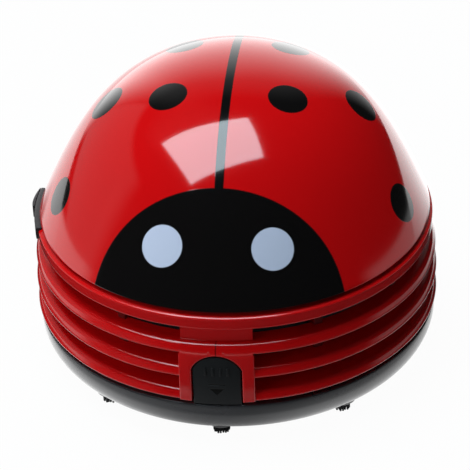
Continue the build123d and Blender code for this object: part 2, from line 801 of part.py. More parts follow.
clamp_inner = motor_width / 2 + motor_fit
with BuildPart() as motor_clamp:
    clamp_foot_end = clamp_inner + clamp_thick + clamp_foot
    with BuildSketch(Plane.YZ.offset(-clamp_width / 2)):
        with BuildLine():
            Polyline(
                (-clamp_foot_end, deck_top),
                (-clamp_inner, deck_top),
                (-clamp_inner, motor_top),
                (clamp_inner, motor_top),
                (clamp_inner, deck_top),
                (clamp_foot_end, deck_top),
                (clamp_foot_end, clamp_foot_top),
                (clamp_inner + clamp_thick, clamp_foot_top),
                (clamp_inner + clamp_thick, motor_top + clamp_thick),
                (-clamp_inner - clamp_thick, motor_top + clamp_thick),
                (-clamp_inner - clamp_thick, clamp_foot_top),
                (-clamp_foot_end, clamp_foot_top),
                close=True,
            )
        make_face()
    extrude(amount=clamp_width)
    with BuildSketch(Plane.XY.offset(deck_top)):
        with Locations((0, -clamp_screw_y), (0, clamp_screw_y)):
            Circle(screw_radius + screw_fit)
    extrude(amount=clamp_thick, mode=Mode.SUBTRACT)
save(motor_clamp.part, "motor_clamp")

# ======== impeller ========
disc_low = impeller_top - impeller_disc
with BuildPart() as impeller:
    ring_block(shaft_radius + shaft_fit, impeller_radius, disc_low, impeller_top)
    ring_block(shaft_radius + shaft_fit, impeller_hub, impeller_low, impeller_top)
    with BuildSketch(Plane.XY.offset(impeller_low)):
        blade_length = (impeller_radius - blade_inner) / cos(radians(blade_sweep))
        with PolarLocations((impeller_radius + blade_inner) / 2, impeller_blades):
            Rectangle(blade_length, blade_thick, rotation=blade_sweep)
        Circle(impeller_radius, mode=Mode.INTERSECT)
    extrude(amount=disc_low - impeller_low + hub_overlap)
save(impeller.part, "impeller")

# ======== filter ========
filter_radius = upstand_inner - filter_clear
filter_opening = filter_radius - filter_frame_width
with BuildPart() as filter_frame:
    ring_block(filter_opening, filter_radius, tray_band_top, tray_band_top + filter_frame_height)
    with BuildSketch(Plane.XY.offset(tray_band_top)):
        Rectangle(2 * (filter_opening + bar_lap), filter_bar)
        Rectangle(filter_bar, 2 * (filter_opening + bar_lap))
    extrude(amount=filter_bar)
save(filter_frame.part, "filter_frame")

with BuildPart() as filter_cloth:
    with BuildSketch(Plane.XY.offset(tray_band_top + filter_bar)):
        Circle(filter_opening - cloth_clear)
    extrude(amount=cloth_thick)
save(filter_cloth.part, "filter_cloth")

# ======== cells and contacts ========
for name, side, nub_end in (("cell_left", -1, 1), ("cell_right", 1, -1)):
    # the nub points to the back on the left and to the front on the right
    flat_end = -nub_end * (contact_y - spring_length)
    with BuildPart() as cell:
        with BuildSketch(Plane.XZ.offset(-flat_end)):
            with Locations((side * cell_x, cell_z)):
                Circle(cell_radius)
        extrude(amount=-nub_end * cell_length)
        fillet(cell.edges().filter_by(GeomType.CIRCLE), cell_edge)
        with BuildSketch(Plane.XZ.offset(-flat_end - nub_end * cell_length)):
            with Locations((side * cell_x, cell_z)):
                Circle(nub_radius)
        extrude(amount=-nub_end * (nub_height - spring_ease))
    save(cell.part, name)

contact_low = cell_z - contact_height / 2
contact_high = cell_z + contact_height / 2
with BuildPart() as bridge_contact:
    bridge_half = cell_x + contact_width / 2
    box_block(
        -bridge_half, bridge_half, -contact_y - contact_thick, -contact_y, contact_low, contact_high
    )
save(bridge_contact.part, "bridge_contact")

for name, side in (("plus_contact", -1), ("minus_contact", 1)):
    middle = side * cell_x
    with BuildPart() as contact:
        box_block(
            middle - contact_width / 2, middle + contact_width / 2, contact_y,
            contact_y + contact_thick, contact_low, contact_high,
        )
    save(contact.part, name)

with BuildPart() as contact_springs:
    for side in (-1, 1):
        start = side * contact_y - side * spring_ease
        with BuildSketch(Plane.XZ.offset(-start)):
            with Locations((side * cell_x, cell_z)):
                Circle(spring_radius)
                Circle(spring_radius - spring_wire, mode=Mode.SUBTRACT)
        extrude(amount=side * (spring_length - 2 * spring_ease))
save(contact_springs.part, "contact_springs")

# ======== wires ========
cell_end = cell_length / 2
cell_top = cell_z + cell_radius
cell_side = cell_x + cell_radius
switch_wire_x = -switch_face_x + switch_body_thick / 2
switch_top = switch_mid_z + switch_body_height / 2
plate_end = Vector(-cell_x - wire_offset, contact_y + contact_thick / 2, contact_high + wire_gap)
switch_in = Vector(switch_wire_x, switch_y + pole_spread, switch_top + wire_gap)
switch_out = Vector(switch_wire_x, switch_y - pole_spread, switch_top + wire_gap)
terminal_x = terminal_spread / 2 + terminal_thick / 2 + wire_gap
terminal_z = motor_top + terminal_size / 2
half_way = (cell_top + terminal_z) / 2
wire_runs = {
    "wire_plus": (
        [
            plate_end,
            Vector(-cell_side, cell_end - 2 * wire_rise, cell_top),
            Vector(-cell_side - 2 * wire_rise, contact_y / 2, cell_top - wire_rise),
            switch_in,
        ],
        (Vector(0, 0, 1), Vector(0, 0, -1)),
    ),
    "wire_switched": (
        [
            switch_out,
            Vector(-cell_side - 2 * wire_rise, switch_out.Y, cell_top + wire_rise),
            Vector(-cell_x, switch_y / 2, half_way + wire_rise),
            Vector(-terminal_x, 0, terminal_z),
        ],
        (Vector(0, 0, 1), Vector(1, 0, 0)),
    ),
    "wire_minus": (
        [
            Vector(-plate_end.X, plate_end.Y, plate_end.Z),
            Vector(cell_x + wire_rise / 2, contact_y - wire_rise, cell_top + 1.5 * wire_rise),
            Vector(cell_x * wire_bow, contact_y * wire_back, half_way + 3 * wire_rise),
            Vector(terminal_x, 0, terminal_z),
        ],
        (Vector(0, 0, 1), Vector(-1, 0, 0)),
    ),
}
for name, (points, ends) in wire_runs.items():
    with BuildPart() as wire:
        with BuildLine() as run:
            Spline(points, tangents=ends)
        with BuildSketch(Plane(origin=points[0], z_dir=ends[0])):
            Circle(wire_radius)
        sweep(path=run.line)
    save(wire.part, name)
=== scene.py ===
import bmesh
import bpy
from math import acos, asin, cos, degrees, pi, radians, sin, tan
from mathutils import Matrix, Vector
from random import Random


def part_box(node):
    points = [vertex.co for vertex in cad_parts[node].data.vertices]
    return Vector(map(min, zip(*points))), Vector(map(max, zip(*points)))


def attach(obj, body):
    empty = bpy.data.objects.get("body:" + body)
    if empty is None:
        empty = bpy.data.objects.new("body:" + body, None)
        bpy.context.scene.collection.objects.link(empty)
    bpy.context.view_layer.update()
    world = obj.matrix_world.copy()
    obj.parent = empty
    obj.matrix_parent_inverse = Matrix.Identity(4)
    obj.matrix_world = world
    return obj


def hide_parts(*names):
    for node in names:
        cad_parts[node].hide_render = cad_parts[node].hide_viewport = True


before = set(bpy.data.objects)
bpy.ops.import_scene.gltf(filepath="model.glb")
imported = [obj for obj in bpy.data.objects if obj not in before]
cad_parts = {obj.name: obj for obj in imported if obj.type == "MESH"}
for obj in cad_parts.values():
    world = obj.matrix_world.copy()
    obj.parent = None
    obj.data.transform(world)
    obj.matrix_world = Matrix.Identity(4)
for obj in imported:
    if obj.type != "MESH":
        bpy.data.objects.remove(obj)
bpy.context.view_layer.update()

MM = 0.001


def low_high(node):
    """Corners of a node's box in millimetres."""
    low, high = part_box(node)
    return [c / MM for c in low], [c / MM for c in high]


# ==== sizes, in millimetres and degrees ====
ROUND_STEPS = 192

# ring with its fins, ribs, front panel and screw lugs
RING_RADIUS = 43.0  # outer radius of the lowest fin
FIN_COUNT = 4
FIN_PITCH = 5.6
FIN_FACE = 1.95  # height of a lower fin's leaning face
FIN_LEAN = 0.85
FIN_LIP = 2.65  # height of the top fin's upright face
FIN_DEPTH = 4.4
FIN_RISE = 0.9
FIN_EDGE = 0.42
FIN_TRIM = 0.17  # what the edge's rounding takes off its corner
FIN_SHOULDER = 1.5
LIP_EDGE = 0.4
FIN_RADII = [RING_RADIUS - step for step in (1.3, 0.4, 0.1, 0.0)]
BAND_TOP = 9.9
FIN_LOWS = [BAND_TOP + 1.05 + FIN_PITCH * (FIN_COUNT - 1 - i) for i in range(FIN_COUNT)]
FIN_INNER = RING_RADIUS - FIN_DEPTH
RING_TOP = FIN_LOWS[0] + FIN_LIP
SKIRT_WALL = 1.3
RIB_DEPTH = 1.9
RIB_IN = FIN_INNER - RIB_DEPTH
RIB_LAP = 0.8
RIB_WIDTH = 2.0
RIB_SPACING = 30
RIB_LOW = BAND_TOP + 3.2
PANEL_ANGLE = 10.2
PANEL_DEPTH = 3.4
PANEL_LAP = 0.3  # degrees the lower fins reach into the panel
PANEL_EDGE = 0.25
SEAM_HALF = 0.07  # of the parting line up the panel
SHOULDER_STEPS = 8
RECESS_DEPTH = 1.2
RECESS_WALL = 1.2
RECESS_RISE = 1.2
SPIGOT_HEIGHT = 1.3
SPIGOT_CLEAR = 0.3
SEAT_LAP = 1.0
LUG_RIBS = (2, 6, 10)
LUG_CIRCLE = RIB_IN - 4.3
LUG_RADIUS = 3.0
LUG_HOLE = 1.15
LUG_ARM = 4.8
LUG_LOW = 19.2
LUG_HIGH = 22.6

# dome and what is printed on it
dome_low, dome_high = low_high("dome_cover")
DOME_FOOT = (dome_high[0] - dome_low[0]) / 2
DOME_FOOT_Z = dome_low[2]
DOME_TOP_Z = dome_high[2]
DOME_WALL = 1.8
DOME_LEAN = radians(25)
DOME_FLANK = 21.8
DOME_CROWN = 24.2
DOME_SHIFT = 0.172
DOME_RINGS = 64
PRINT_BLUR = 0.12
HEAD_CENTRE_Z = 25.2
HEAD_RADIUS = 25.7
LINE_WIDTH = 1.8
EYE = (10.9, -32.8, 41.35)
EYE_RADIUS = 4.2
SPOTS = (
    (-12.2, -5.5, 59.7, 4.1), (12.2, -5.5, 59.7, 4.1),
    (-11.2, 16.0, 59.65, 4.1), (11.2, 16.0, 59.65, 4.1),
    (-26.1, 1.2, 54.0, 4.3), (26.6, 2.9, 53.7, 4.1),
    (-34.7, -12.3, 39.4, 4.1), (35.6, -10.8, 38.9, 4.1),
    (-29.0, 22.0, 42.0, 4.1), (29.0, 22.0, 42.0, 4.1),
)

# dust tray, its hinge and its bristle tufts
tray_low, tray_high = low_high("base_tray")
BAND_RADIUS = tray_high[0]
TRAY_UNDER = tray_low[2]
TRAY_WALL = 1.8
TRAY_FLOOR = 1.6
TRAY_CORNER = 6.0
UPSTAND_CLEAR = 0.6
UPSTAND_WALL = 1.4
UPSTAND_HEIGHT = 2.7
INLET_RADIUS = 9.0
INLET_WALL = 1.4
INLET_HEIGHT = 4.6
HINGE_Y = RING_RADIUS - 2.0
HINGE_Z = BAND_TOP + 1.45
HINGE_FIT = 0.05
HINGE_WALL = 0.9
STUB_RADIUS = 0.9
STUB_REACH = 2.4
STUB_ROOT = 1.3  # what of a stub lies inside its ear
BARREL_HALF = 7.0
EAR_THICK = 2.6
EAR_GAP = 0.25
TUFT_COUNT = 9
TUFT_INSET = 5.1
TUFT_RADIUS = 1.75
TUFT_BOSS = 2.95
TUFT_TOP = 4.0
BRISTLES = (1, 7, 14, 21)  # bristles in each ring of a tuft
BRISTLE_RADIUS = 0.29
BRISTLE_SPLAY = 1.06
BRISTLE_UNEVEN = 0.35

# release tab with its grip bars and marks
TAB_HALF = 4.85
TAB_TOP = 21.8
TAB_SPRING = TAB_TOP - 3.2
TAB_FOOT = BAND_TOP + 0.25
TAB_THICK = 1.6
WINDOW_GAP = 0.3
GRIP_COUNT = 4
GRIP_PITCH = 1.5
GRIP_WIDTH = 0.5
GRIP_HEIGHT = 2.0
GRIP_Z = 18.3
GRIP_PROUD = 0.2
MARK_BLUR = 0.12
BAR_Z = 15.1
BAR_HALF = 1.75
BAR_HEIGHT = 0.45
ARROW_TOP = 14.2
ARROW_TIP = 12.6
ARROW_HALF = 1.5

# thumb switch
KNOB_ANGLE = -90.3
KNOB_HALF = 5.0
KNOB_CREST = 0.73  # share of the way from the back end to the front end
KNOB_TRAVEL = 8.0
KNOB_PROUD = 0.75
KNOB_CLEAR = 0.1
KNOB_LOW = 28.4
KNOB_HEIGHT = 2.7
KNOB_STEPS = 24
KNOB_BACK = 0.15  # height of its back end
KNOB_FRONT = 0.45  # height of its front end
STEM_HALF = 1.6
STEM_HEIGHT = 1.0
STEM_INSET = 0.5
SLOT_HALF = 1.9
SLOT_INSET = 0.7
PLATE_THICK = 1.6
PLATE_FRONT = -73.4
PLATE_BACK = -95.5

# cells, springs and screws
NUB_RADIUS = 2.75
NUB_HEIGHT = 0.95
CELL_EDGE = 0.5
CELL_CRIMP = 1.3
SLEEVE_SPLIT = 12.0
SPRING_LENGTH = 2.5
SPRING_WIRE = 0.6
SPRING_TURNS = 3
SPRING_STEPS = 28  # in one turn
SPRING_SIDES = 10
SCREW_RADIUS = 1.1
HEAD_WIDE = 2.1
HEAD_HEIGHT = 1.2
HEAD_ROUND = 0.8

# colours
RED = (0.56, 0.003, 0.004)
BLACK = (0.004, 0.0035, 0.0035)
EYE_COLOR = (0.53, 0.59, 0.74)


# ==== building helpers ====
def around(angle, radius, height=0.0):
    """Point at an angle in degrees from the front towards +X, in millimetres."""
    return Vector((radius * sin(radians(angle)), -radius * cos(radians(angle)), height))


def turned(angle, axis="Z"):
    return Matrix.Rotation(radians(angle), 4, axis)


def moved(x, y, z):
    return Matrix.Translation((x, y, z))


def as_mesh(bm, name):
    mesh = bpy.data.meshes.new(name)
    bm.to_mesh(mesh)
    bm.free()
    return mesh


def placed(name, data):
    """Puts a new object into the scene."""
    made = bpy.data.objects.new(name, data)
    bpy.context.scene.collection.objects.link(made)
    return made


def finished(bm, name, body, node, materials):
    """Turns a bmesh in millimetres into a smooth-shaded piece in the place of a node."""
    bmesh.ops.transform(bm, matrix=Matrix.Scale(MM, 4), verts=bm.verts)
    mesh = as_mesh(bm, name)
    mesh.polygons.foreach_set("use_smooth", [True] * len(mesh.polygons))
    mesh.set_sharp_from_angle(angle=radians(35))
    piece = placed(name, mesh)
    for material in materials:
        mesh.materials.append(material)
    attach(piece, body)
    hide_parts(node)


def ring_piece(bm, name, material):
    finished(bm, name, "upper_body", "louvre_ring", [material])


def tray_piece(bm, name):
    finished(bm, name, "tray", "base_tray", [tray_plastic])


def outline(bm, corners, plane="XZ"):
    """Closed loop of edges through a few corners."""
    place = {"XZ": lambda u, v: (u, 0, v), "XY": lambda u, v: (u, v, 0)}[plane]
    verts = [bm.verts.new(place(u, v)) for u, v in corners]
    for first, second in zip(verts, verts[1:] + verts[:1]):
        bm.edges.new((first, second))
    return verts


def bevelled(bm, geom, offset, segments, affect):
    bmesh.ops.bevel(
        bm, geom=geom, offset=offset, segments=segments, profile=0.5, affect=affect,
        material=-1, clamp_overlap=affect == "EDGES",
    )


def rounded(bm, verts, radius, segments):
    """Rounds corners of an outline to a radius."""
    for vert in verts:
        first, second = [(e.other_vert(vert).co - vert.co).normalized() for e in vert.link_edges]
        reach = radius / tan(first.angle(second) / 2)
        bevelled(bm, [vert], reach, segments, "VERTICES")


def softened(bm, radius, segments=3, edges=None, angle=30):
    """Rounds the sharp edges of a closed form."""
    if edges is None:
        joined = [e for e in bm.edges if len(e.link_faces) == 2]
        edges = [e for e in joined if e.calc_face_angle() > radians(angle)]
    bevelled(bm, edges, radius, segments, "EDGES")


def outward(bm):
    bmesh.ops.recalc_face_normals(bm, faces=bm.faces)


def raised(bm, height):
    """Fills a flat outline and pulls it up to a closed form."""
    bmesh.ops.contextual_create(bm, geom=bm.edges[:])
    pulled(bm, height)


def pulled(bm, height):
    """Pulls flat faces up to a closed form."""
    made = bmesh.ops.extrude_face_region(bm, geom=bm.faces[:])["geom"]
    verts = [g for g in made if isinstance(g, bmesh.types.BMVert)]
    bmesh.ops.translate(bm, verts=verts, vec=height)
    outward(bm)


def merged(bm, other, matrix=None):
    """Adds another bmesh to this one, moved by a matrix."""
    if matrix is not None:
        bmesh.ops.transform(other, matrix=matrix, verts=other.verts)
    mesh = as_mesh(other, "merged")
    bm.from_mesh(mesh)
    bpy.data.meshes.remove(mesh)


def spun(bm, start, sweep, steps):
    """Turns an XZ outline about the Z axis, from an angle measured from the front."""
    bmesh.ops.rotate(bm, verts=bm.verts, matrix=Matrix.Rotation(radians(start) - pi / 2, 3, "Z"))
    full = abs(sweep - 360) < 0.001
    if not full:
        bmesh.ops.contextual_create(bm, geom=bm.edges[:])
    bmesh.ops.spin(
        bm, geom=bm.verts[:] + bm.edges[:] + bm.faces[:], axis=(0, 0, 1), cent=(0, 0, 0),
        angle=radians(sweep), steps=steps, use_merge=full,
    )
    bmesh.ops.remove_doubles(bm, verts=bm.verts, dist=0.0005)
    outward(bm)


def lathed(points, rounds, start=0.0, sweep=360.0, steps=ROUND_STEPS, closed=True):
    """Turns a section about the axis; rounds lists corners with a radius and a step count."""
    bm = bmesh.new()
    corners = outline(bm, points)
    if not closed:
        first, last = corners[0], corners[-1]
        bm.edges.remove(next(e for e in first.link_edges if e.other_vert(first) is last))
    for picked, radius, segments in rounds:
        rounded(bm, [corners[index] for index in picked], radius, segments)
    spun(bm, start, sweep, steps)
    return bm


def swept(points, rounds, stretches, least_steps):
    """Turns a section through several stretches (start, sweep)."""
    bm = bmesh.new()
    for start, sweep in stretches:
        steps = max(least_steps, int(ROUND_STEPS * sweep / 360))
        merged(bm, lathed(points, rounds, start, sweep, steps))
    return bm


def oblong(inner, outer, low, high):
    return [(inner, low), (outer, low), (outer, high), (inner, high)]


def add_bar(bm, angle, width, near, far, low, high, edge=0.25, segments=3):
    """Adds an upright block that points away from the axis at an angle."""
    bar = bmesh.new()
    outline(bar, oblong(-width / 2, width / 2, -near, -far), "XY")
    raised(bar, (0, 0, high - low))
    softened(bar, edge, segments)
    merged(bm, bar, turned(angle) @ moved(0, 0, low))


# ==== materials ====
class Finish:
    """Nodes of a material or of the world, with short ways to add to them."""

    def __init__(self, owner):
        owner.use_nodes = True
        self.nodes = owner.node_tree.nodes
        self.links = owner.node_tree.links
        self.material = owner
        self.shader = self.nodes.get("Principled BSDF")

    def feed(self, socket, value):
        """Links an output to a socket, or sets the socket to a constant."""
        if isinstance(value, bpy.types.NodeSocket):
            self.links.new(value, socket)
        else:
            socket.default_value = (*value, 1) if socket.type == "RGBA" else value

    def add(self, kind, inputs, **settings):
        """New node with its settings and inputs."""
        node = self.nodes.new("ShaderNode" + kind)
        for name, value in settings.items():
            setattr(node, name, value)
        for name, value in inputs.items():
            self.feed(node.inputs[name], value)
        return node

    def surface(self, **values):
        """Sets the shader's inputs, named with underscores for their spaces."""
        for name, value in values.items():
            self.feed(self.shader.inputs[name.replace("_", " ")], value)

    def show(self, shader, kind="Material"):
        self.links.new(shader, self.nodes[kind + " Output"].inputs["Surface"])

    def place(self):
        return self.add("TexCoord", {}).outputs["Object"]

    def axes(self, place=None):
        place = self.place() if place is None else place
        return self.add("SeparateXYZ", {"Vector": place}).outputs

    def noise(self, scale, detail=2.0, stretch=None):
        """Noise over the object; a small stretch makes streaks along that axis."""
        place = self.place()
        if stretch:
            place = self.add("Mapping", {"Scale": stretch, "Vector": place}).outputs["Vector"]
        inputs = {"Scale": scale, "Detail": detail, "Vector": place}
        return self.add("TexNoise", inputs).outputs["Fac"]

    def wave(self, direction, scale, distortion):
        inputs = {"Scale": scale, "Distortion": distortion, "Vector": self.place()}
        return self.add("TexWave", inputs, bands_direction=direction).outputs["Fac"]

    def math(self, operation, *values):
        return self.add("Math", dict(enumerate(values)), operation=operation).outputs[0]

    def product(self, first, *others):
        for other in others:
            first = self.math("MULTIPLY", first, other)
        return first

    def largest(self, first, *others):
        for other in others:
            first = self.math("MAXIMUM", first, other)
        return first

    def length(self, first, second):
        total = self.math("ADD", self.product(first, first), self.product(second, second))
        return self.math("SQRT", total)

    def span(self, value, low, high, start=0.0, end=1.0):
        """Maps start..end evenly to low..high."""
        inputs = {"From Min": start, "From Max": end, "To Min": low, "To Max": high, "Value": value}
        return self.add("MapRange", inputs).outputs["Result"]

    def ramp(self, value, start, end):
        """Smooth step from 0 at start to 1 at end."""
        inputs = {"From Min": start, "From Max": end, "Value": value}
        return self.add("MapRange", inputs, interpolation_type="SMOOTHSTEP").outputs["Result"]

    def blend(self, first, second, factor):
        """Colour between two colours."""
        inputs = {"A": first, "B": second, "Factor": factor}
        return self.add("Mix", inputs, data_type="RGBA").outputs["Result"]

    def shaded(self, color, low, high, factor):
        """Base colour that varies between two shares of a colour."""
        ends = [[min(1, c * share) for c in color] for share in (low, high)]
        self.surface(Base_Color=self.blend(*ends, factor))

    def lay(self, color, factor):
        """Lays a colour over the base colour."""
        below = self.shader.inputs["Base Color"].links[0].from_socket
        self.surface(Base_Color=self.blend(below, color, factor))

    def bump(self, height, distance, strength=1.0, invert=False, below=None):
        """Relief of a height; below is the relief that it lies on."""
        inputs = {"Strength": strength, "Distance": distance, "Height": height}
        if below is not None:
            inputs["Normal"] = below
        node = self.add("Bump", inputs, invert=invert)
        self.surface(Normal=node.outputs["Normal"])
        return node.outputs["Normal"]

    def choose(self, factor, first, second):
        return self.add("MixShader", {"Fac": factor, 1: first, 2: second}).outputs[0]


def new_finish(name):
    return Finish(bpy.data.materials.new(name))


def plastic(name, color, roughness, coat=0.0, grain=0.02, grain_scale=900.0, specular=0.5):
    """Injection-moulded plastic: even colour with slight flow variation and a faint skin."""
    finish = new_finish(name)
    finish.surface(Coat_Weight=coat, Coat_Roughness=0.02, Specular_IOR_Level=specular)
    flow = finish.noise(60.0, 3.0)
    finish.shaded(color, 0.94, 1.06, flow)
    finish.surface(Roughness=finish.span(flow, roughness * 0.85, roughness * 1.15))
    finish.skin = finish.bump(finish.noise(grain_scale), 0.0002, grain)
    return finish


def printed_dome():
    """Glossy red with the head, eyes, centre line and spots printed under the lacquer."""
    finish = new_finish("dome_lacquer")
    finish.surface(Roughness=0.09, Coat_Weight=0.6, Coat_Roughness=0.015)
    place = finish.place()
    across, along, height = finish.axes(place)

    def patch(distance, radius):
        return finish.ramp(distance, (radius + PRINT_BLUR) * MM, (radius - PRINT_BLUR) * MM)

    def disc(centre, radius):
        inputs = {0: place, 1: [c * MM for c in centre]}
        away = finish.add("VectorMath", inputs, operation="DISTANCE").outputs["Value"]
        return patch(away, radius)

    # head: a round patch seen from the front
    reach = finish.length(across, finish.math("SUBTRACT", height, HEAD_CENTRE_Z * MM))
    head = finish.product(patch(reach, HEAD_RADIUS), finish.math("LESS_THAN", along, 0.0))
    # centre line over the crown to the back
    line = patch(finish.math("ABSOLUTE", across), LINE_WIDTH / 2)
    black = finish.largest(head, line, *[disc(spot[:3], spot[3]) for spot in SPOTS])
    x, y, z = EYE
    eyes = finish.largest(disc((-x, y, z), EYE_RADIUS), disc((x, y, z), EYE_RADIUS))
    finish.shaded(RED, 0.95, 1.05, finish.noise(45.0))
    finish.lay(BLACK, black)
    finish.lay(EYE_COLOR, eyes)
    # a print lies a hair proud of the lacquer
    finish.bump(finish.largest(black, eyes), 0.00003, 0.25)
    return finish.material


def tab_finish():
    """Satin black with a sunk bar over a sunk triangle that points down, both painted darker as
    painted shade in their recess.
    """
    finish = plastic(
        "tab_black_plastic", (0.015, 0.016, 0.017), 0.4, grain=0.1, grain_scale=2500, specular=0.22,
    )
    across, _, height = finish.axes()

    def past(value, limit):
        return finish.math("SUBTRACT", value, limit)

    side = finish.math("ABSOLUTE", across)
    off_bar = finish.math("ABSOLUTE", past(height, BAR_Z * MM))
    bar = finish.largest(past(side, BAR_HALF * MM), past(off_bar, BAR_HEIGHT / 2 * MM))
    slope = ARROW_HALF / (ARROW_TOP - ARROW_TIP)
    width = finish.product(past(height, ARROW_TIP * MM), slope)
    arrow = finish.largest(past(side, width), past(height, ARROW_TOP * MM))
    mark = finish.span(finish.math("MINIMUM", bar, arrow), 0.0, 1.0, 0.0, -MARK_BLUR * MM)
    finish.bump(mark, 0.0009, invert=True, below=finish.skin)
    # painted shade: the sunk marks are coloured darker than the tab
    finish.lay((0.001, 0.001, 0.001), mark)
    return finish.material


def panel_finish():
    """Red plastic with the fine parting line of the mould up its middle, painted darker as painted
    shade in its groove.
    """
    finish = plastic("front_red_plastic", RED, 0.16, coat=0.55, grain=0.01, specular=0.4)
    off = finish.math("ABSOLUTE", finish.axes()["X"])
    line = finish.math("SUBTRACT", 1.0, finish.ramp(off, SEAM_HALF * MM, 2 * SEAM_HALF * MM))
    # painted shade: the parting line's groove is coloured darker red
    finish.lay([c * 0.35 for c in RED], line)
    finish.bump(line, 0.0001, invert=True)
    return finish.material


def drawn_metal(name, color, roughness, stretch=(1, 1, 0.04), scale=900.0):
    """Rolled or drawn metal with fine streaks and faint stains."""
    finish = new_finish(name)
    streaks = finish.noise(scale, 4.0, stretch)
    finish.surface(Metallic=1.0, Roughness=finish.span(streaks, roughness * 0.7, roughness * 1.4))
    finish.shaded(color, 0.82, 1.0, finish.noise(90.0, 4.0, (1, 1, 1)))
    finish.bump(streaks, 0.00005, 0.15)
    return finish


def woven_cloth():
    """Off-white filter cloth: crossed threads with a little dust, painted darker between the
    threads as painted shade.
    """
    finish = new_finish("woven_cloth")
    finish.surface(Roughness=0.9, Specular_IOR_Level=0.1)
    weave = finish.largest(finish.wave("X", 300.0, 0.6), finish.wave("Y", 300.0, 0.6))
    dust = finish.noise(120.0, 4.0, (1, 1, 1))
    bright = finish.math("ADD", 0.6, finish.product(dust, 0.4))
    # the dark colour is painted shade in the gaps between the threads; pale is the threads' own
    # colour
    dark, pale = (0.42, 0.40, 0.36), (0.80, 0.78, 0.73)
    finish.surface(Base_Color=finish.blend(dark, pale, finish.product(weave, bright)))
    finish.bump(weave, 0.0002)
    return finish.material


def copper_winding():
    """Enamelled copper wire wound round the armature, painted darker between the turns as painted
    shade.
    """
    finish = new_finish("copper_winding")
    wire = finish.wave("Z", 700.0, 1.5)
    # the gap colour is painted shade between the turns; top is the wire's own copper
    gap, top = (0.22, 0.07, 0.03), (0.72, 0.30, 0.14)
    finish.surface(Metallic=1.0, Roughness=0.3, Base_Color=finish.blend(gap, top, wire))
    finish.bump(wire, 0.0002)
    return finish.material


def cell_sleeve():
    """Plain sleeve of a cell: dark blue with a silver stretch next to its nub."""
    finish = new_finish("cell_sleeve")
    across, along, _ = finish.axes()
    # the nub points to the back on the left and to the front on the right
    towards = finish.product(along, finish.math("SIGN", across), -1.0)
    share = finish.ramp(towards, SLEEVE_SPLIT * MM - 0.0001, SLEEVE_SPLIT * MM + 0.0001)
    flow = finish.noise(400.0, 4.0, (1, 0.1, 1))
    blue = finish.blend((0.020, 0.075, 0.20), (0.028, 0.095, 0.24), flow)
    finish.surface(
        Roughness=0.22, Coat_Weight=0.5, Metallic=finish.product(share, 0.8),
        Base_Color=finish.blend(blue, (0.55, 0.56, 0.58), share),
    )
    return finish.material


def screw_metal():
    """Zinc-plated steel; the head's own UV places a sunk cross, painted dark as painted shade in
    its recess.
    """
    finish = drawn_metal("zinc_plated_steel", (0.62, 0.62, 0.60), 0.28, (1, 1, 1), 700.0)
    u, v, _ = finish.axes(finish.add("UVMap", {}, uv_map="head").outputs["UV"])
    u, v = finish.math("ABSOLUTE", u), finish.math("ABSOLUTE", v)
    arm = finish.ramp(finish.math("MAXIMUM", u, v), 1.25, 1.15)
    thin = finish.ramp(finish.math("MINIMUM", u, v), 0.32, 0.22)
    cross = finish.product(arm, thin)
    # painted shade: the sunk cross is coloured dark
    finish.lay((0.03, 0.03, 0.03), cross)
    finish.bump(cross, 0.0004, invert=True)
    return finish.material


dome_finish = printed_dome()
red_plastic = plastic("red_plastic", RED, 0.16, coat=0.55, grain=0.01, specular=0.4).material
# painted shade: the ring's inside pieces are the same red plastic at a quarter of its brightness,
# as they lie in shadow
painted_shade_red = plastic("painted_shade_red_plastic", [c * 0.25 for c in RED], 0.45, specular=0.2).material
tray_plastic = plastic(
    "tray_black_plastic", (0.032, 0.032, 0.036), 0.27, coat=0.45, specular=0.8,
).material
knob_plastic = plastic("knob_black_plastic", (0.018, 0.016, 0.018), 0.32, grain=0.08).material
bristle_nylon = plastic(
    "bristle_nylon", (0.004, 0.004, 0.005), 0.6, grain=0.1, grain_scale=3000, specular=0.15,
).material
nickel = drawn_metal(
    "nickelled_spring_steel", (0.72, 0.70, 0.66), 0.22, (0.05, 1, 1), 800.0,
).material
zinc = screw_metal()


# ==== dome cover ====
def dome_profile(foot, height, flank, crown):
    """Points up one side of the dome from its foot to its crown."""
    p0 = Vector((foot, DOME_FOOT_Z))
    p1 = p0 + flank * Vector((-sin(DOME_LEAN), cos(DOME_LEAN)))
    top = DOME_FOOT_Z + height
    p2, p3 = Vector((crown, top)), Vector((0, top))

    def point(t):
        s = 1 - t
        return s**3 * p0 + 3 * s * s * t * p1 + 3 * s * t * t * p2 + t**3 * p3

    return [point(step / DOME_RINGS) for step in range(DOME_RINGS + 1)]


def build_dome():
    height = DOME_TOP_Z - DOME_FOOT_Z
    inner_foot = DOME_FOOT - DOME_WALL / cos(DOME_LEAN)
    thinner = DOME_WALL / 2
    outer = dome_profile(DOME_FOOT, height, DOME_FLANK, DOME_CROWN)
    inner = dome_profile(inner_foot, height - DOME_WALL, DOME_FLANK - thinner, DOME_CROWN - thinner)
    rounds = [((DOME_RINGS,), 0.3, 3), ((DOME_RINGS + 1,), 0.3, 2)]
    bm = lathed(outer[::-1] + inner, rounds, closed=False)
    for vert in bm.verts:
        vert.co.y += DOME_SHIFT * (vert.co.z - DOME_FOOT_Z)
    finished(bm, "dome", "dome", "dome_cover", [dome_finish])


build_dome()


# ==== louvre ring ====
def notched(gap):
    """Stretches (start, sweep) round the ring that leave the front and the tray's ears free."""
    near = degrees(asin(BARREL_HALF / RING_RADIUS))
    far = degrees(asin((BARREL_HALF + EAR_THICK + 2 * EAR_GAP) / RING_RADIUS))
    return [(gap, 180 - far - gap), (180 - near, 2 * near), (180 + far, 180 - far - gap)]


